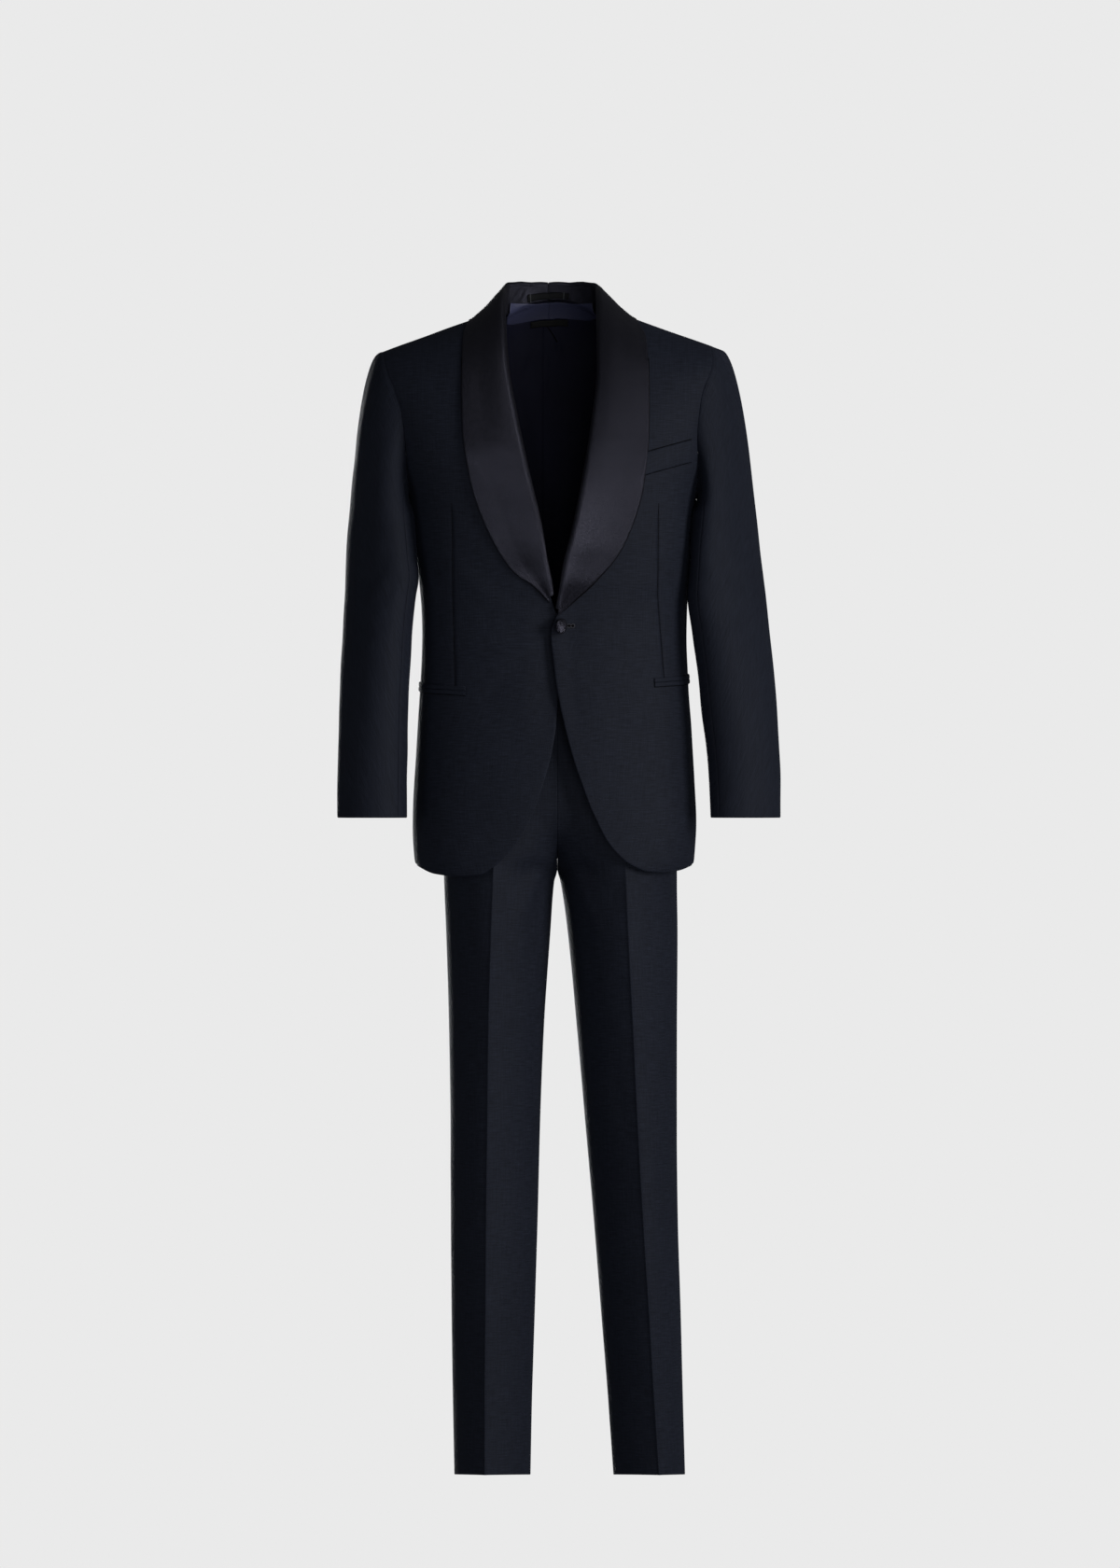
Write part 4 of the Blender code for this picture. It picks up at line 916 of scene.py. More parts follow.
class Graph:
    """A short way to write a material's nodes."""

    def __init__(self, name):
        self.material = bpy.data.materials.new(name)
        self.material.use_nodes = True
        self.tree = self.material.node_tree
        self.shader = self.tree.nodes["Principled BSDF"]

    def node(self, kind, inputs=(), **settings):
        made = self.tree.nodes.new(kind)
        for key, value in settings.items():
            setattr(made, key, value)
        for key, value in dict(inputs).items():
            self.feed(made.inputs[key], value)
        return made

    def feed(self, socket, value):
        if isinstance(value, bpy.types.NodeSocket):
            self.tree.links.new(value, socket)
        else:
            socket.default_value = value

    def maths(self, operation, *values):
        made = self.node("ShaderNodeMath", operation=operation)
        for socket, value in zip(made.inputs, values):
            self.feed(socket, value)
        return made.outputs[0]

    def product(self, *values):
        made = values[0]
        for value in values[1:]:
            made = self.maths("MULTIPLY", made, value)
        return made

    def flat(self):
        made = self.node("ShaderNodeUVMap", uv_map="cloth")
        split = self.node("ShaderNodeSeparateXYZ", {0: made.outputs[0]})
        return split.outputs[0], split.outputs[1]

    def stretched(self, u, v, scale_u, scale_v, detail=3.0, rough=0.6):
        """Noise stretched along the threads: features per metre along u and v."""
        place = self.node(
            "ShaderNodeCombineXYZ",
            {0: self.maths("MULTIPLY", u, scale_u), 1: self.maths("MULTIPLY", v, scale_v)},
        )
        made = self.node(
            "ShaderNodeTexNoise",
            {"Vector": place.outputs[0], "Scale": 1.0, "Detail": detail, "Roughness": rough},
        )
        return made.outputs[0]

    def clouds(self, scale, detail=2.0):
        place = self.node("ShaderNodeTexCoord").outputs["Object"]
        made = self.node("ShaderNodeTexNoise", {"Vector": place, "Scale": scale, "Detail": detail})
        return made.outputs[0]

    def ridges(self, place, pitch):
        """Rounded threads side by side, this far apart."""
        return self.maths("ABSOLUTE", self.maths("SINE", self.maths("MULTIPLY", place, pi / pitch)))

    def about_one(self, value, size):
        """A factor that varies by this much about 1."""
        return self.maths("ADD", self.maths("MULTIPLY", self.maths("SUBTRACT", value, 0.5), size), 1.0)

    def varied(self, *parts):
        """A factor about 1 that is the product of several, each a value and its size."""
        return self.product(*(self.about_one(value, size) for value, size in parts))

    def rough(self, value):
        self.feed(self.shader.inputs["Roughness"], value)

    def colour(self, dark, light, share, factor):
        made = self.node("ShaderNodeMix", data_type="RGBA")
        self.feed(made.inputs[0], share)
        made.inputs[6].default_value = (*dark, 1.0)
        made.inputs[7].default_value = (*light, 1.0)
        scaled = self.node("ShaderNodeVectorMath", {0: made.outputs[2]}, operation="SCALE")
        self.feed(scaled.inputs["Scale"], factor)
        self.feed(self.shader.inputs["Base Color"], scaled.outputs[0])

    def relief(self, height, distance, strength=1.0):
        made = self.node(
            "ShaderNodeBump", {"Strength": strength, "Distance": distance, "Height": height}
        )
        self.feed(self.shader.inputs["Normal"], made.outputs[0])

    def settings(self, **values):
        for name, value in values.items():
            self.shader.inputs[name.replace("_", " ")].default_value = value


WOOL_COLOURS = ((0.0108, 0.0128, 0.0205), (0.0186, 0.0221, 0.0352))
SATIN_COLOURS = ((0.0038, 0.0038, 0.0056), (0.0064, 0.0064, 0.0094))


def wool():
    graph = Graph("midnight_wool")
    u, v = graph.flat()
    slub = graph.stretched(u, v, 48.0, 760.0, 4.0, 0.65)
    cross = graph.stretched(u, v, 620.0, 30.0, 3.0, 0.6)
    clouds = graph.clouds(7.0)
    graph.colour(*WOOL_COLOURS, slub, graph.varied((slub, 1.35), (cross, 0.8), (clouds, 0.3)))
    graph.rough(graph.product(graph.about_one(slub, 0.3), 0.62))
    weave = graph.product(graph.ridges(u, 0.0007), graph.ridges(v, 0.0008), 0.5)
    height = graph.maths("ADD", weave, slub)
    height = graph.maths("ADD", height, graph.product(cross, 0.5))
    graph.relief(height, 0.00025, 0.6)
    graph.settings(Specular_IOR_Level=0.10, Sheen_Weight=0.035, Sheen_Roughness=0.45)
    graph.shader.inputs["Sheen Tint"].default_value = (0.6, 0.7, 1.0, 1.0)
    return graph.material


def satin(name, roughness, size):
    graph = Graph(name)
    u, v = graph.flat()
    threads = graph.stretched(u, v, 900.0, 60.0, 3.0, 0.6)
    slub = graph.stretched(u, v, 45.0, 500.0, 3.0, 0.55)
    clouds = graph.clouds(11.0)
    grain = graph.clouds(430.0, 4.0)
    factor = graph.varied((threads, 0.3), (slub, 0.35), (clouds, 0.2), (grain, 1.6 * size))
    graph.colour(*SATIN_COLOURS, clouds, factor)
    rough = graph.product(graph.about_one(grain, 1.3 * size), roughness)
    graph.rough(graph.product(graph.about_one(threads, 0.15), rough))
    height = graph.maths("ADD", graph.ridges(graph.maths("ADD", u, v), 0.0006), slub)
    height = graph.maths("ADD", height, graph.product(grain, 1.6 * size))
    graph.relief(height, 0.00024, 0.5)
    graph.settings(Specular_IOR_Level=0.5, Anisotropic=0.3, Sheen_Weight=0.02)
    graph.shader.inputs["Specular Tint"].default_value = (0.74, 0.74, 1.0, 1.0)
    return graph.material


def smooth_cloth(name, dark, light, roughness, pitch, specular=0.4):
    """A close, smooth cloth such as lining, with fine ribs."""
    graph = Graph(name)
    u, v = graph.flat()
    threads = graph.stretched(u, v, 40.0, 900.0, 2.0, 0.5)
    clouds = graph.clouds(14.0)
    graph.colour(dark, light, clouds, graph.varied((threads, 0.25), (clouds, 0.4)))
    graph.rough(graph.product(graph.about_one(threads, 0.2), roughness))
    graph.relief(graph.ridges(v, pitch), 0.0001, 0.5)
    graph.settings(Specular_IOR_Level=specular)
    return graph.material


WOOL = wool()
SATIN = satin("black_satin", 0.40, 1.0)
TAUT_SATIN = satin("button_satin", 0.22, 0.1)
# The near-black cloth among these is painted shade. It draws the dark lines of shade in the darts,
# under the lapels' outer edges, in the facing's seam, in the pleat's mouth, at the pockets' mouths and
# feet, and in the buttonhole's slit.
# The darker and the lighter colour of each, its roughness, the pitch of its ribs and its gloss
LINING, SILK, RIBBON, TACK, SEWING, SHADE_BLACK, TAPE = (
    smooth_cloth(*row) for row in (
        ("lining_cloth", (0.0100, 0.0105, 0.0260), (0.0165, 0.0172, 0.0410), 0.60, 0.0005, 0.15),
        ("facing_silk", (0.0480, 0.0520, 0.1050), (0.0680, 0.0740, 0.1450), 0.38, 0.0006),
        ("loop_ribbon", (0.0022, 0.0026, 0.0036), (0.0038, 0.0044, 0.0060), 0.6, 0.0008, 0.2),
        ("tack_thread", (0.0600, 0.0660, 0.0720), (0.0900, 0.0980, 0.1050), 0.6, 0.0004),
        ("sewing_thread", (0.0300, 0.0300, 0.0380), (0.0420, 0.0420, 0.0520), 0.6, 0.0004),
        ("painted_shade_black", (0.0010, 0.0010, 0.0013), (0.0018, 0.0018, 0.0022), 0.8, 0.0004, 0.1),
        ("label_tape", (0.0060, 0.0060, 0.0062), (0.0090, 0.0090, 0.0092), 0.6, 0.0005, 0.25),
    )
)


# Jacket body

LINING_END = -0.70  # the height of the lining's lower edge
FACING_WIDTH = 0.07  # from the edge of a front to its lining
# The widths of turned edges: above, below, and at the first and the last column
FRONT_RIMS = (0.002, 0.0022, 0.0022, 0.002)
PANEL_RIMS = (0.002, 0.0022, 0.002, 0.002)
DARTS = {
    -1: ((-136.3, -262.0), (-135.0, -400.0), (-132.0, -512.0)),
    1: ((138.8, -262.0), (137.5, -385.0), (147.0, -500.0)),
}
DART_BASE = 0.60
DART_COLUMNS = (-0.030, -0.016, -0.009, -0.005, -0.002, 0.0, 0.002, 0.005, 0.009, 0.016, 0.030)
DART_WIDTH = 0.0014
DART_DEPTH = 0.0017
DART_SINK = -0.0002


def dart_ends(side):
    """The heights of a dart's foot and top."""
    return DARTS[side][-1][1] / 1000, DARTS[side][0][1] / 1000


def dart_place(side, z):
    places, heights = np.array(DARTS[side][::-1]).T / 1000
    return np.interp(z, heights, places)


def front_shares(side, shares):
    """Columns of a front at each row: close together along its dart."""
    plain = FRONT_COLUMNS
    rows = len(shares)
    first = front_panel(side, shares, np.tile(plain, (rows, 1)))
    target = []
    for row in first:
        x, z = side * row[:, 0], row[:, 2]
        middle = np.interp(side * dart_place(side, z[len(z) // 2]), x, plain)
        z_there = np.interp(middle, plain, z)
        target.append(np.interp(side * dart_place(side, z_there), x, plain))
    target = np.clip(np.array(target), 0.35, 0.8)
    far = plain[np.abs(plain - DART_BASE) > DART_COLUMNS[-1] * 1.3]
    base = np.sort(np.concatenate([far, DART_BASE + np.array(DART_COLUMNS)]))
    pull = np.interp(base, [0, DART_BASE - 0.03, DART_BASE + 0.03, 1], [0, 1, 1, 0])
    return base[None, :] + (target - DART_BASE)[:, None] * pull[None, :]


EDGE_LIFT = 0.0034  # the left front stands off the right one beside the button
LIFT_TOP, LIFT_FOOT = (0.385, 0.425), (0.50, 0.60)  # where that starts and where it runs out
FRONT_CREASES = {
    -1: (
        (12, 0.9, -20, -418, -75, -395, -130, -350), (11, 0.8, -15, -432, -80, -440, -150, -455),
        (13, -0.7, -20, -450, -70, -500, -110, -580), (12, -0.7, -30, -405, -90, -360, -140, -300),
    ),
    1: (
        (12, 0.9, 28, -418, 85, -398, 150, -350), (11, 0.8, 30, -430, 90, -445, 160, -450),
        (13, -0.7, 25, -450, 70, -510, 105, -600), (12, -0.7, 35, -400, 95, -350, 150, -290),
    ),
}


def front_relief(side, points):
    """The creases of a front, its dart, and its free edge off the other front beside the button."""
    x, z = points[..., 0], points[..., 2]
    from_edge = lengths(points, 1)
    relief = creased(FRONT_CREASES[side], x, z) + unevenness(x, z, "front", side)
    relief = relief * ease(from_edge, 0.0, 0.03)
    beside = ease(-z, *LIFT_TOP) * (1 - ease(-z, *LIFT_FOOT))
    if side > 0:
        relief += EDGE_LIFT * beside * (1 - ease(from_edge, 0.0, 0.035))
    else:
        relief -= EDGE_LIFT * beside * ease(x, -0.040, -0.004)
    low, high = dart_ends(side)
    ends = ease(z, low - 0.004, low + 0.004) * (1 - ease(z, high - 0.03, high))
    dart = np.exp(-(((x - dart_place(side, z)) / DART_WIDTH) ** 2)) * ends
    return relief - DART_DEPTH * dart


def fronts():
    for side, name in SIDES.items():
        shares = row_shares(side, 0)
        points = front_panel(side, shares, front_shares(side, shares))
        inner = (lengths(points, 1) > FACING_WIDTH) & (points[..., 2] > LINING_END)
        made = shell(f"jacket_front_{name}", points, JACKET_WALL, (WOOL, LINING), side < 0,
                     front_relief(side, points), FRONT_RIMS, inner=inner, upright=True)
        # A near-black line along the dart's trough: the dart's seam, darkened as painted shade of its
        # fold.
        low, high = dart_ends(side)
        level = np.linspace(-high, -low, 90)
        track = front_at(side, dart_place(side, -level), level, DART_SINK)
        thread(f"dart_stitch_{name}", track, 0.0003, SHADE_BLACK, f"jacket_front_{name}", made)
    return bpy.data.objects["jacket_front_left_cloth"]


BACK_CREASES = {
    -1: (
        (14, -1.6, -170, -130, -150, -200, -120, -260), (13, -1.0, -60, -60, -90, -90, -130, -110),
        (12, 1.0, -40, -395, -90, -410, -150, -400), (11, -1.0, -30, -430, -80, -440, -150, -460),
        (16, -1.2, -60, -500, -75, -600, -70, -720),
    ),
    1: (
        (14, -1.6, 165, -120, 150, -190, 115, -270), (13, -1.0, 55, -62, 95, -88, 125, -120),
        (12, 1.0, 35, -400, 95, -405, 155, -395), (11, -1.0, 25, -425, 85, -445, 150, -450),
        (16, -1.2, 65, -490, 70, -600, 80, -720),
    ),
}


def backs():
    for side, name in SIDES.items():
        points = back_panel(side, row_shares(side, 1))
        x, z = points[..., 0], points[..., 2]
        relief = creased(BACK_CREASES[side], x, z) + unevenness(x, z, "back", side)
        relief *= ease(z, 0.0, -0.08) * ease(np.abs(x), 0.0, 0.02)
        inner = z > LINING_END
        shell(f"jacket_back_{name}", points, JACKET_WALL, (WOOL, LINING), side < 0,
              relief, PANEL_RIMS, zero=points.shape[1] - 1, inner=inner, upright=True)
        points = side_panel(side)
        inner = points[..., 2] > LINING_END
        shell(f"jacket_side_{name}", points, JACKET_WALL, (WOOL, LINING), side < 0,
              unevenness(points[..., 1], points[..., 2], "side", side),
              PANEL_RIMS, inner=inner, upright=True)


# Sleeves

FOLD_UNDER = (0.004, 0.0022)  # how far the sleeve's top runs on into the armhole, and sinks
SLEEVE_ROWS = finer((0.0, 0.2, 1.0, 2.0), 0.016, (0.003, 0.008, 0.016))
ARM_RADIUS = 0.045
# Across is the distance round from the outer line, by the front
SLEEVE_CREASES = {
    -1: (
        (13, -1.6, 45, -160, 52, -300, 48, -430, 50, -560),
        (11, -1.6, 85, -300, 70, -345, 40, -385), (9, -1.3, 95, -350, 78, -385, 50, -415),
        (9, -1.1, 92, -400, 70, -425, 45, -440), (12, 0.8, 60, -470, 72, -540, 66, -640),
        (15, -1.4, -40, -200, -55, -320, -50, -430), (10, -1.2, -70, -370, -45, -400, -10, -420),
        (14, 0.9, 20, -120, 28, -190, 24, -260), (17, 4.2, 141, -232, 141, -275, 141, -335),
    ),
    1: (
        (13, -1.4, 50, -200, 56, -320, 52, -440, 58, -560),
        (11, -1.5, 90, -310, 72, -350, 42, -375), (9, -1.3, 96, -360, 80, -395, 52, -430),
        (12, 0.8, 60, -480, 70, -560, 62, -650), (15, -1.4, -42, -190, -52, -310, -56, -420),
        (10, -1.2, -72, -380, -42, -395, -12, -430), (14, 0.8, 22, -130, 26, -200, 30, -280),
        (17, 4.2, 141, -232, 141, -275, 141, -335),
    ),
}


def sleeves():
    for side, name in SIDES.items():
        for kind, degrees in (("top_sleeve", (TOP_ANGLES[0], 0, TOP_ANGLES[-1])),
                              ("under_sleeve", UNDER_ANGLES)):
            fine = finer((degrees[0] + SEAM_ANGLE, degrees[-1] - SEAM_ANGLE), 3.6, (1.2, 2.8, 5.0))
            points = sleeve_point(side, np.radians(fine)[None, :], SLEEVE_ROWS[:, None])
            onward = unit(points[0] - points[1]) * FOLD_UNDER[0]
            start = points[0] + onward - outward(points, side > 0)[0] * FOLD_UNDER[1]
            points = np.concatenate([start[None], points])
            around = ARM_RADIUS * np.radians(fine)[None, :] + 0 * points[..., 2]
            z = points[..., 2]
            relief = creased(SLEEVE_CREASES[side], around, z)
            relief += unevenness(around, z, "sleeve", side)
            along = np.array([0.0, *SLEEVE_ROWS])[:, None]
            relief *= ease(along, 0.0, 0.3) * (1 - 0.6 * ease(along, 1.8, 2.0))
            middle = int(np.argmin(np.abs(fine)))
            inner = np.broadcast_to(along < 1.9, z.shape)
            shell(f"{kind}_{name}", points, SLEEVE_WALL, (WOOL, LINING), side > 0,
                  relief, (0.0018,) * 4, zero=middle, inner=inner)


# Collar

COLLAR_STATIONS = finer((0.0, 1.0), 0.0052, (0.0012, 0.003))
COLLAR_ACROSS = np.array([*finer((0.0, 1.0), 0.028, (0.008, 0.02)), *np.linspace(1, 2, 13)[1:],
                          *finer((2.0, 3.0), 0.07, (0.03,))[1:]])
STAND_CREASES = (
    (3.0, -0.9, -60, 12, -50, 22, -44, 32), (2.6, -0.8, -48, 10, -41, 20, -38, 31),
    (2.4, -0.5, -28, 28, -24, 20, -23, 12), (2.6, -0.7, 20, 12, 24, 22, 22, 32),
    (2.8, -0.9, 30, 10, 36, 20, 34, 31), (2.6, -0.7, 44, 14, 48, 22, 54, 28),
)


LAPEL_LIFT = {-1: 0.0020, 1: 0.0016}  # how far the outer edge of each lapel stands off the front
LIFT_RISE, LIFT_END = (0.02, 0.27), (0.27, 0.48)  # the stations where that begins and ends
# How far outside each lapel's outer edge its painted shadow runs, as a near-black line on the front.
EDGE_SHADOW_OUT = 0.0006
EDGE_SINK = 0.0026  # how much closer the outer edge lies to the body beside the neck
NECK_STATIONS = (0.42, 0.56)
LOW_LAPEL = {-1: 0.0, 1: 0.35}  # the share of that which a lapel keeps all the way down


def collars():
    for side, name in SIDES.items():
        across = COLLAR_ACROSS[None, :]
        points = collar_point(side, COLLAR_STATIONS[:, None], across)
        x, z = points[..., 0], points[..., 2]
        stand = ease(across, 2.0, 2.2) * (COLLAR_STATIONS[:, None] > 0.6)
        relief = creased(STAND_CREASES, x, z) * stand
        relief += unevenness(x, z, "collar", side) * ease(across, 0.0, 0.15) * (across < 1.2)
        near = np.clip(ease(COLLAR_STATIONS, *NECK_STATIONS) + LOW_LAPEL[side], 0, 1)[:, None]
        relief -= EDGE_SINK * near * (1 - ease(across, 0.0, 0.45))
        lapel = ease(COLLAR_STATIONS, *LIFT_RISE) * (1 - ease(COLLAR_STATIONS, *LIFT_END))
        relief += LAPEL_LIFT[side] * lapel[:, None] * (1 - ease(across, 0.45, 1.0))
        made = shell(f"shawl_collar_{name}", points, COLLAR_WALL, (SATIN,), side < 0, relief,
                     (0.001, 0.0012, 0.0024, 0.001))
        # A painted shadow under the lapel's outer edge: a near-black line laid on the front along it.
        edge = points[COLLAR_STATIONS < 0.50, 0]
        out = np.cross(unit(np.gradient(edge, axis=0)), np.array([0.0, side, 0.0]))
        edge = edge + unit(out) * EDGE_SHADOW_OUT
        track = front_at(side, edge[:, 0], -edge[:, 2], 0.0009)
        thread(f"shawl_collar_edge_stitch_{name}", track, 0.0007, SHADE_BLACK,
               f"shawl_collar_{name}", made)


# Neck interior

LINING_CREASES = (
    (2.4, -1.6, -8, -24, -2, -40, 4, -56), (3.2, 2.1, -2, -24, 5, -38, 9, -54),
    (7, -1.4, -14, -28, -30, -60, -52, -110), (6, 1.2, -7, -26, -12, -80, -16, -170),
    (7, -1.3, 0, -26, 16, -60, 24, -120), (9, 1.1, -40, -40, -46, -110, -30, -200),
    (9, -1.1, 30, -40, 38, -100, 36, -180),
)


FACING_TOP = 0.0112  # the height to which the facing laps over the foot of the stand
LAP_ROWS = (1.0, 0.95, 0.82, 0.64, 0.46, 0.28, 0.12)
LAP_AWAY = FACING_WALL + 0.0008
NECK_SHADE = 0.0007  # the radius of the near-black lines of painted shade in the facing's seam and in the pleat's mouth
PLEAT_MOUTH = (-0.0100, 0.0035)  # where it opens under the label, and where it ends
PLEAT_MOUTH_DOWN = (0.0370, 0.0600)


def lapped_facing(side):
    """The band inside the neck. Its top edge is level, so towards the sides it laps over the stand."""
    plain = neck_facing(side)
    columns = []
    for at, start in zip(neck_places(side), plain[0]):
        ladder = [start]
        for above in np.linspace(0.001, 0.018, 12):
            point = stand_place(at, above)
            ladder.append(point + neckwards(point) * LAP_AWAY)
        ladder = np.array(ladder)
        height = mix(start[2], max(FACING_TOP, start[2] + 0.0008), np.array(LAP_ROWS))
        columns.append(
            np.stack([np.interp(height, ladder[:, 2], ladder[:, k]) for k in range(3)], axis=1)
        )
    return np.concatenate([np.stack(columns, axis=1), plain])


def neck():
    for side, name in SIDES.items():
        points = lapped_facing(side)
        made = shell(f"neck_facing_{name}", points, FACING_WALL, (SILK,), side > 0, 0.0,
                     (0.0008,) * 4)
        # The facing's middle seam, darkened by a near-black line of painted shade.
        if side > 0:
            thread("neck_facing_seam_painted_shade", points[:, 0], NECK_SHADE, SHADE_BLACK,
                   f"neck_facing_{name}", made)
        points = back_lining(side)
        x, z = points[..., 0], points[..., 2]
        relief = (creased(LINING_CREASES, x, z) - 0.0006) * ease(z, -0.02, -0.06)
        made = shell(f"back_lining_{name}", points, LINING_WALL, (LINING,), side > 0, relief,
                     (0.0008,) * 4)
    x = np.linspace(LABEL[0], LABEL[1], 41)
    down = LABEL_START + np.linspace(0, 1, 9)[:, None] * LABEL[2] + 0 * x
    depth = JACKET_WALL + LINING_GAP + LINING_WALL + PLEAT_LAP
    # A near-black line of painted shade in the pleat's mouth below the label.
    share = np.linspace(0, 1, 40)
    mouth = mix(PLEAT_MOUTH[0], PLEAT_MOUTH[1], share ** 0.8), mix(*PLEAT_MOUTH_DOWN, share)[None, :]
    thread("back_lining_pleat_painted_shade", inside_back(*mouth, depth)[0], NECK_SHADE, SHADE_BLACK,
           "back_lining_left", made)
    shell("neck_label", inside_back(x, down, depth), LINING_WALL, (TAPE,), True, 0.0,
          (0.0006,) * 4)


def loop():
    edges = []
    for x in np.linspace(LOOP[0], LOOP[1], 61):
        share = (x - LOOP[0]) / (LOOP[1] - LOOP[0])
        line = []
        for rise in np.linspace(0, 1, 9):
            at = stand_place(x, LOOP_ABOVE + LOOP[2] * rise)
            away = LOOP_WALL + LOOP_SLACK * np.sin(pi * share) ** 2
            line.append(at + neckwards(at) * away)
        edges.append(line)
    edges = np.array(edges)
    ribs = 0.00035 * np.abs(np.sin(3.5 * pi * np.linspace(0, 1, edges.shape[1])))[None, :]
    made = shell("hanger_loop", edges, LOOP_WALL, (RIBBON,), False, ribs, (0.0008,) * 4)
    for place, name in ((4, "right"), (53, "left")):
        ends = edges[place, 0], edges[place, -1]
        track = mix(ends[0], ends[1], np.linspace(-0.05, 1.05, 24)[:, None])
        track = track + neckwards(ends[0]) * 0.0006
        thread(f"hanger_loop_tack_{name}", track, 0.0006, TACK, "hanger_loop", made)


# Pockets and button


WELT_UNDER_LAPEL = 0.005
SEAM_SHADE = 0.0005  # the radius of the near-black lines of painted shade at the mouths and sewn feet of the pockets


def welt():
    x = finer((WELT[0] - WELT_UNDER_LAPEL, WELT[1]), 0.0015, (0.0004, 0.001))[None, :]
    foot = WELT_FOOT + WELT_RISE * (WELT[1] - x)
    rise = finer((1.0, 0.0), 0.06, (0.015, 0.04))[:, None]
    level = foot - WELT_HEIGHT * rise
    points = front_at(1, x + 0 * level, level, WELT_WALL + WELT_GAP)
    bulge = 0.0008 * np.sin(pi * np.linspace(0, 1, points.shape[0]))[:, None]
    made = shell("breast_welt", points, WELT_WALL, (WOOL,), False, bulge, (0.0012,) * 4)
    # Near-black lines of painted shade at the welt's mouth and along its sewn foot.
    for edge, row, beyond in (("mouth", 0, -SEAM_SHADE), ("foot", -1, SEAM_SHADE)):
        track = front_at(1, x[0], level[row] + beyond, SEAM_SHADE)
        thread(f"breast_welt_{edge}_painted_shade_line", track, SEAM_SHADE, SHADE_BLACK, "breast_welt", made)


def pockets():
    for side, name in SIDES.items():
        start, foot = POCKET[side]
        root = np.sqrt(foot)
        turns = np.linspace(turn_at(side, side * start, root), 0.62, 400)
        track = torso_ring(side, turns, root + 0 * turns)
        length = path_length(track)
        along = finer((0.0, POCKET_LENGTH), 0.002, (0.0004, 0.001))
        turn = np.interp(along, length, turns)
        for kind, low in (("lower", 0.0), ("upper", JET_HEIGHT)):
            level = foot - POCKET_RISE * along - low
            rise = finer((1.0, 0.0), 0.12, (0.05, 0.12))[:, None]
            level = level[None, :] - JET_HEIGHT * rise
            where = turn[None, :] + 0 * level
            points = ring_point(side, where, np.sqrt(level), JET_WALL + JET_GAP)
            bulge = 0.0005 * np.sin(pi * np.linspace(0, 1, points.shape[0]))[:, None]
            made = shell(f"hip_pocket_{kind}_jet_{name}", points, JET_WALL, (WOOL,), side < 0,
                         bulge, (0.0016, 0.0016, 0.001, 0.001))
            # A near-black line of painted shade along the foot of each jet: at the mouth between them,
            # and below the lower one.
            edge = foot - POCKET_RISE * along - low + SEAM_SHADE / 2
            track = ring_point(side, turn, np.sqrt(edge), SEAM_SHADE / 2)
            thread(f"hip_pocket_{kind}_stitch_{name}", track, SEAM_SHADE, SHADE_BLACK,
                   f"hip_pocket_{kind}_jet_{name}", made)


HOLE_EYES = (0.0192, 0.0243)
HOLE_RADIUS = (0.0024, 0.0026)


def buttonhole(owner):
    """The end of the buttonhole beside the button: two eyes of thread over a near-black line of painted
    shade in its slit.
    """
    angle = np.linspace(0, 2 * pi, 33)[:-1]
    for number, middle in enumerate(HOLE_EYES, 1):
        x = middle + HOLE_RADIUS[0] * np.cos(angle)
        level = BUTTON_AT[1] + HOLE_RADIUS[1] * np.sin(angle)
        track = front_at(1, x, level, 0.0007)
        thread(f"buttonhole_eye_{number}", track, 0.0007, SEWING, "jacket_front_left",
               owner, True)
    # The slit's opening is drawn as a near-black line of painted shade.
    slit = np.linspace(HOLE_EYES[0] - 0.004, HOLE_EYES[1] + 0.001, 24)
    track = front_at(1, slit, BUTTON_AT[1] + 0 * slit, 0.0003)
    thread("buttonhole_slit_painted_shade", track, 0.0012, SHADE_BLACK, "jacket_front_left", owner)


BUTTON_SWING = 8  # degrees its face turns further than its solid


def button():
    """A covered button: satin drawn over a domed disc, a little uneven, with its gathered back."""
    path = np.array(BUTTON_PROFILE)
    keys = np.concatenate([[0], np.cumsum(np.hypot(*np.diff(path, axis=0).T))])
    at = np.linspace(0, keys[-1], 40)
    radius, height = spline(keys, path[:, 0], at), spline(keys, path[:, 1], at)
    angle = np.linspace(0, 2 * pi, 73)[None, :-1]
    radius, height = radius[:, None], height[:, None]
    gather = 1 + 0.006 * np.sin(9 * angle + 2 * np.sin(3 * angle)) * ease(radius, 0.0065, 0.0102)
    x, y = radius * gather * np.cos(angle), radius * gather * np.sin(angle)
    z = height + 0.00004 * np.sin(5 * angle + 1.0) * ease(radius, 0.002, 0.006) + 0 * angle
    rings = stacked(x, y, z)[1:-1]
    points = np.concatenate([rings.reshape(-1, 3), [(0, 0, 0), (0, 0, BUTTON_HEIGHT)]])
    index = np.arange(rings.size // 3).reshape(rings.shape[:2])
    first, last = index[0], index[-1]
    caps = ((index.size, np.roll(first, -1), first), (index.size + 1, last, np.roll(last, -1)))
    faces = round_faces(index)
    for cap in caps:
        faces += stacked(*cap).tolist()
    name = "front_button_cloth"
    made = added(name, cloth_mesh(name, points, faces, (TAUT_SATIN,), points[:, :2]))
    x, level = BUTTON_AT
    root = np.sqrt(level)
    seat = chart_point(1, x, root, BUTTON_GAP)
    out = chart_point(1, x, root, 1.0) - seat
    made.rotation_mode = "QUATERNION"
    tipped = Matrix.Rotation(np.radians(BUTTON_TURN + BUTTON_SWING), 3, "Z") @ Vector(out)
    made.rotation_quaternion = tipped.to_track_quat("Z", "X")
    made.location = seat
    bpy.context.view_layer.update()
    laid_over(made, "front_button")


# Trousers

LEG_PLACES = finer((-1.0, 0.0, 1.0), 0.03, (0.005, 0.012, 0.022))
LEG_PLACES = np.unique(np.round([*LEG_PLACES, -0.014, -0.007, 0.007, 0.014], 6))
LEG_ROWS = finer((0.5163, 0.750, 1.560), 0.0065, (0.0006, 0.0015, 0.003))
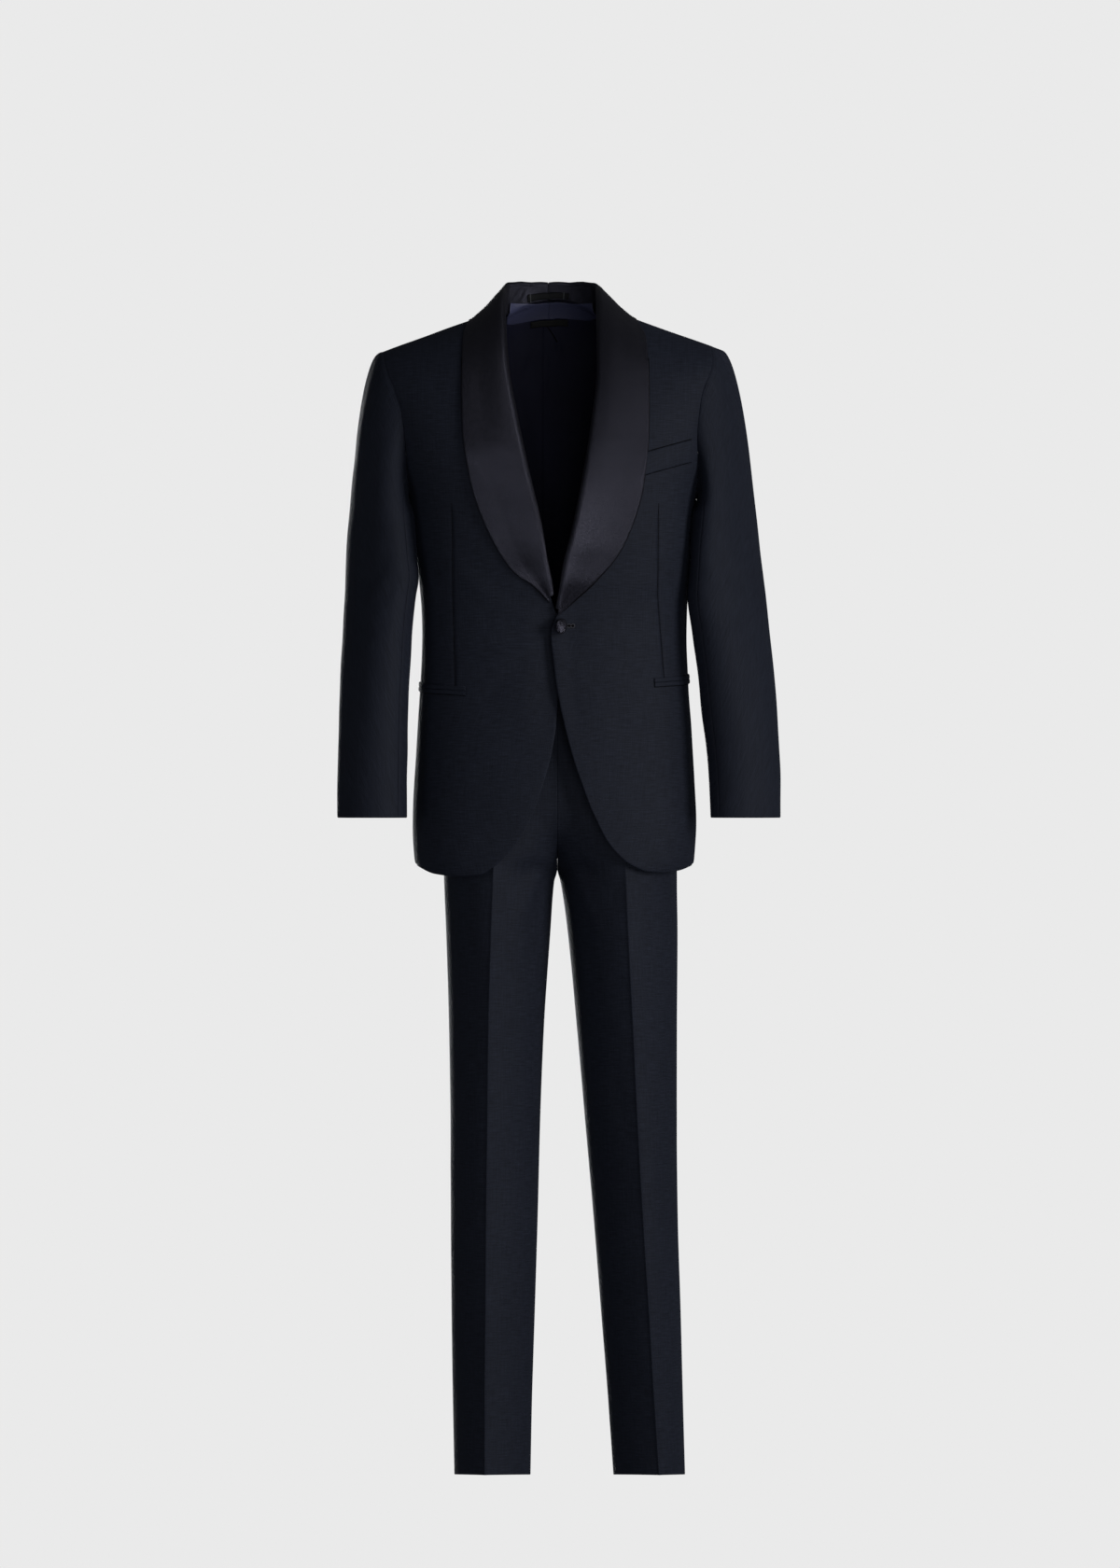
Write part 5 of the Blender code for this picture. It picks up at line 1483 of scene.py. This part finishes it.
# The front of each leg. The back has the same ones, a little deeper.
LEG_CREASES = {
    -1: (
        (9, -1.8, 0, -700, -30, -745, -62, -775), (8, 1.5, -4, -730, -30, -775, -55, -830),
        (10, -1.3, -8, -770, -26, -830, -36, -900), (13, -1.2, -120, -760, -110, -900, -118, -1030),
        (10, -1.0, -60, -1010, -48, -1060, -40, -1120),
        (12, 0.9, -110, -1080, -100, -1150, -112, -1250),
        (12, -0.9, -50, -1250, -58, -1360, -50, -1480),
        (11, -0.8, -118, -1330, -108, -1420, -114, -1530),
    ),
    1: (
        (9, -1.8, 8, -700, 38, -742, 70, -770), (8, 1.5, 10, -728, 36, -775, 60, -835),
        (10, -1.3, 20, -775, 42, -840, 56, -910), (13, -1.2, 135, -770, 128, -900, 136, -1040),
        (10, -1.0, 80, -1000, 86, -1060, 100, -1110), (12, 0.9, 140, -1090, 132, -1160, 142, -1260),
        (12, -0.9, 90, -1260, 96, -1370, 104, -1490),
        (11, -0.8, 152, -1330, 146, -1430, 156, -1530),
    ),
}
CREASE_LIFT = 0.0012
# Shares of half a panel's width: the pressed crease, and where the cloth lies calm beside it
# and beside the seams
CREASE_WIDTH = 0.012
CREASE_CALM = 0.05
SEAM_CALM = 0.12
HEM_RISE = 0.0052  # how much shorter each leg is at the middle of its front


def trousers():
    for side, name in SIDES.items():
        for face, kind in ((-1, "front"), (1, "back")):
            place, level = LEG_PLACES[None, :], LEG_ROWS[:, None]
            rise = HEM_RISE * (1 - np.abs(place) ** 1.5) * ease(level, 1.30, 1.560) * (face < 0)
            level = level - rise
            points = leg_point(side, face, place, level)
            x, z = points[..., 0], points[..., 2]
            relief = creased(LEG_CREASES[side], x, z) * (1.0 if face < 0 else 1.3)
            relief += unevenness(x, z, "leg", side + 4 * face)
            relief *= 1 - np.exp(-((place / CREASE_CALM) ** 2))
            relief *= ease(1 - np.abs(place), 0.0, SEAM_CALM)
            relief *= ease(-z, 0.60, 0.72)
            relief += CREASE_LIFT * np.exp(-((place / CREASE_WIDTH) ** 2)) * ease(-z, 0.62, 0.9)
            flip = side > 0 if face < 0 else side < 0
            middle = int(np.argmin(np.abs(LEG_PLACES)))
            shell(f"trouser_{kind}_{name}", points, TROUSER_WALL, (WOOL,), flip, relief,
                  (0.001, 0.0014, 0.0014, 0.0014), zero=middle, level_grain=True)
        band = np.linspace(WAIST_TOP, WAIST_FOOT, 13)[:, None]
        ahead = leg_point(side, -1, LEG_PLACES[None, ::-1], band)
        astern = leg_point(side, 1, LEG_PLACES[None, 1:], band)
        waist = np.concatenate([ahead, astern], axis=1)
        shell(f"waistband_{name}", waist, WAISTBAND_WALL, (WOOL,), side < 0, 0.0, (0.003,) * 4)


front_left = fronts()
backs()
sleeves()
collars()
neck()
loop()
welt()
pockets()
buttonhole(front_left)
button()
trousers()


# Floor, light and camera

PALE = (0.823, 0.823, 0.823, 1.0)
FLOOR_LEVEL = -1.563
FLOOR_RADIUS = 40.0


def stage():
    graph = Graph("pale_floor")
    glow = graph.node("ShaderNodeEmission", {"Color": PALE, "Strength": 1.0})
    graph.tree.links.new(glow.outputs[0], graph.tree.nodes["Material Output"].inputs[0])
    angle = np.linspace(0, 2 * pi, 65)[:-1]
    disc = FLOOR_RADIUS * stacked(np.cos(angle), np.sin(angle), 0)
    floor = added("floor", cloth_mesh("floor", disc, [list(range(64))], (graph.material,)))
    floor.location = (0.0, 0.0, FLOOR_LEVEL)
    floor.visible_diffuse = False
    floor.visible_glossy = False


def world():
    made = bpy.data.worlds.new("studio")
    made.use_nodes = True
    bpy.context.scene.world = made
    tree = made.node_tree
    seen = tree.nodes["Background"]
    seen.inputs["Color"].default_value = PALE
    lit = tree.nodes.new("ShaderNodeBackground")
    lit.inputs["Color"].default_value = (0.9, 0.93, 1.0, 1.0)
    lit.inputs["Strength"].default_value = AMBIENT
    path = tree.nodes.new("ShaderNodeLightPath")
    mixed = tree.nodes.new("ShaderNodeMixShader")
    tree.links.new(path.outputs["Is Camera Ray"], mixed.inputs[0])
    tree.links.new(lit.outputs[0], mixed.inputs[1])
    tree.links.new(seen.outputs[0], mixed.inputs[2])
    tree.links.new(mixed.outputs[0], tree.nodes["World Output"].inputs[0])


AMBIENT = 0.055
# Where each lamp stands, what it points at, its width and height, and its power
LAMPS = (
    ("key", (3.8, -3.0, 0.2), (0.0, 0.0, -0.5), (1.6, 2.4), 110.0, (1.0, 0.99, 0.97)),
    ("fill", (-4.4, -2.8, -0.4), (0.0, 0.0, -0.6), (2.0, 2.6), 19.0, (0.95, 0.97, 1.0)),
    ("high", (4.2, -0.8, 2.4), (0.0, 0.0, -0.5), (1.6, 2.4), 9.0, (1.0, 1.0, 1.0)),
    ("back", (-0.7, 5.0, -0.4), (0.0, 0.0, -0.7), (2.6, 2.6), 150.0, (0.97, 0.98, 1.0)),
    ("low", (0.9, -3.8, -1.35), (0.0, 0.0, -0.4), (2.4, 0.3), 27.0, (0.97, 0.98, 1.0)),
)


def lamps():
    for name, place, target, size, power, colour in LAMPS:
        data = bpy.data.lights.new(name, "AREA")
        data.shape = "RECTANGLE"
        data.size, data.size_y = size
        data.energy = power
        data.color = colour
        made = added(name, data)
        made.location = place
        aim = Vector(target) - Vector(place)
        made.rotation_mode = "QUATERNION"
        made.rotation_quaternion = aim.to_track_quat("-Z", "Y")
        made.visible_camera = False


SENSOR = 36.0
CAMERA_DISTANCE = 12.0
PICTURE_HEIGHT = 2.1  # what the picture takes in at the suit


def camera():
    data = bpy.data.cameras.new("camera")
    data.sensor_width = SENSOR
    data.lens = SENSOR * CAMERA_DISTANCE / PICTURE_HEIGHT
    data.clip_start, data.clip_end = 0.1, 200.0
    made = added("camera", data)
    made.location = (0.0075, -CAMERA_DISTANCE, -0.635)
    made.rotation_euler = (pi / 2, 0.0, 0.0)
    bpy.context.scene.camera = made


stage()
world()
lamps()
camera()
bpy.context.scene.view_settings.view_transform = "Standard"

bpy.context.view_layer.update()
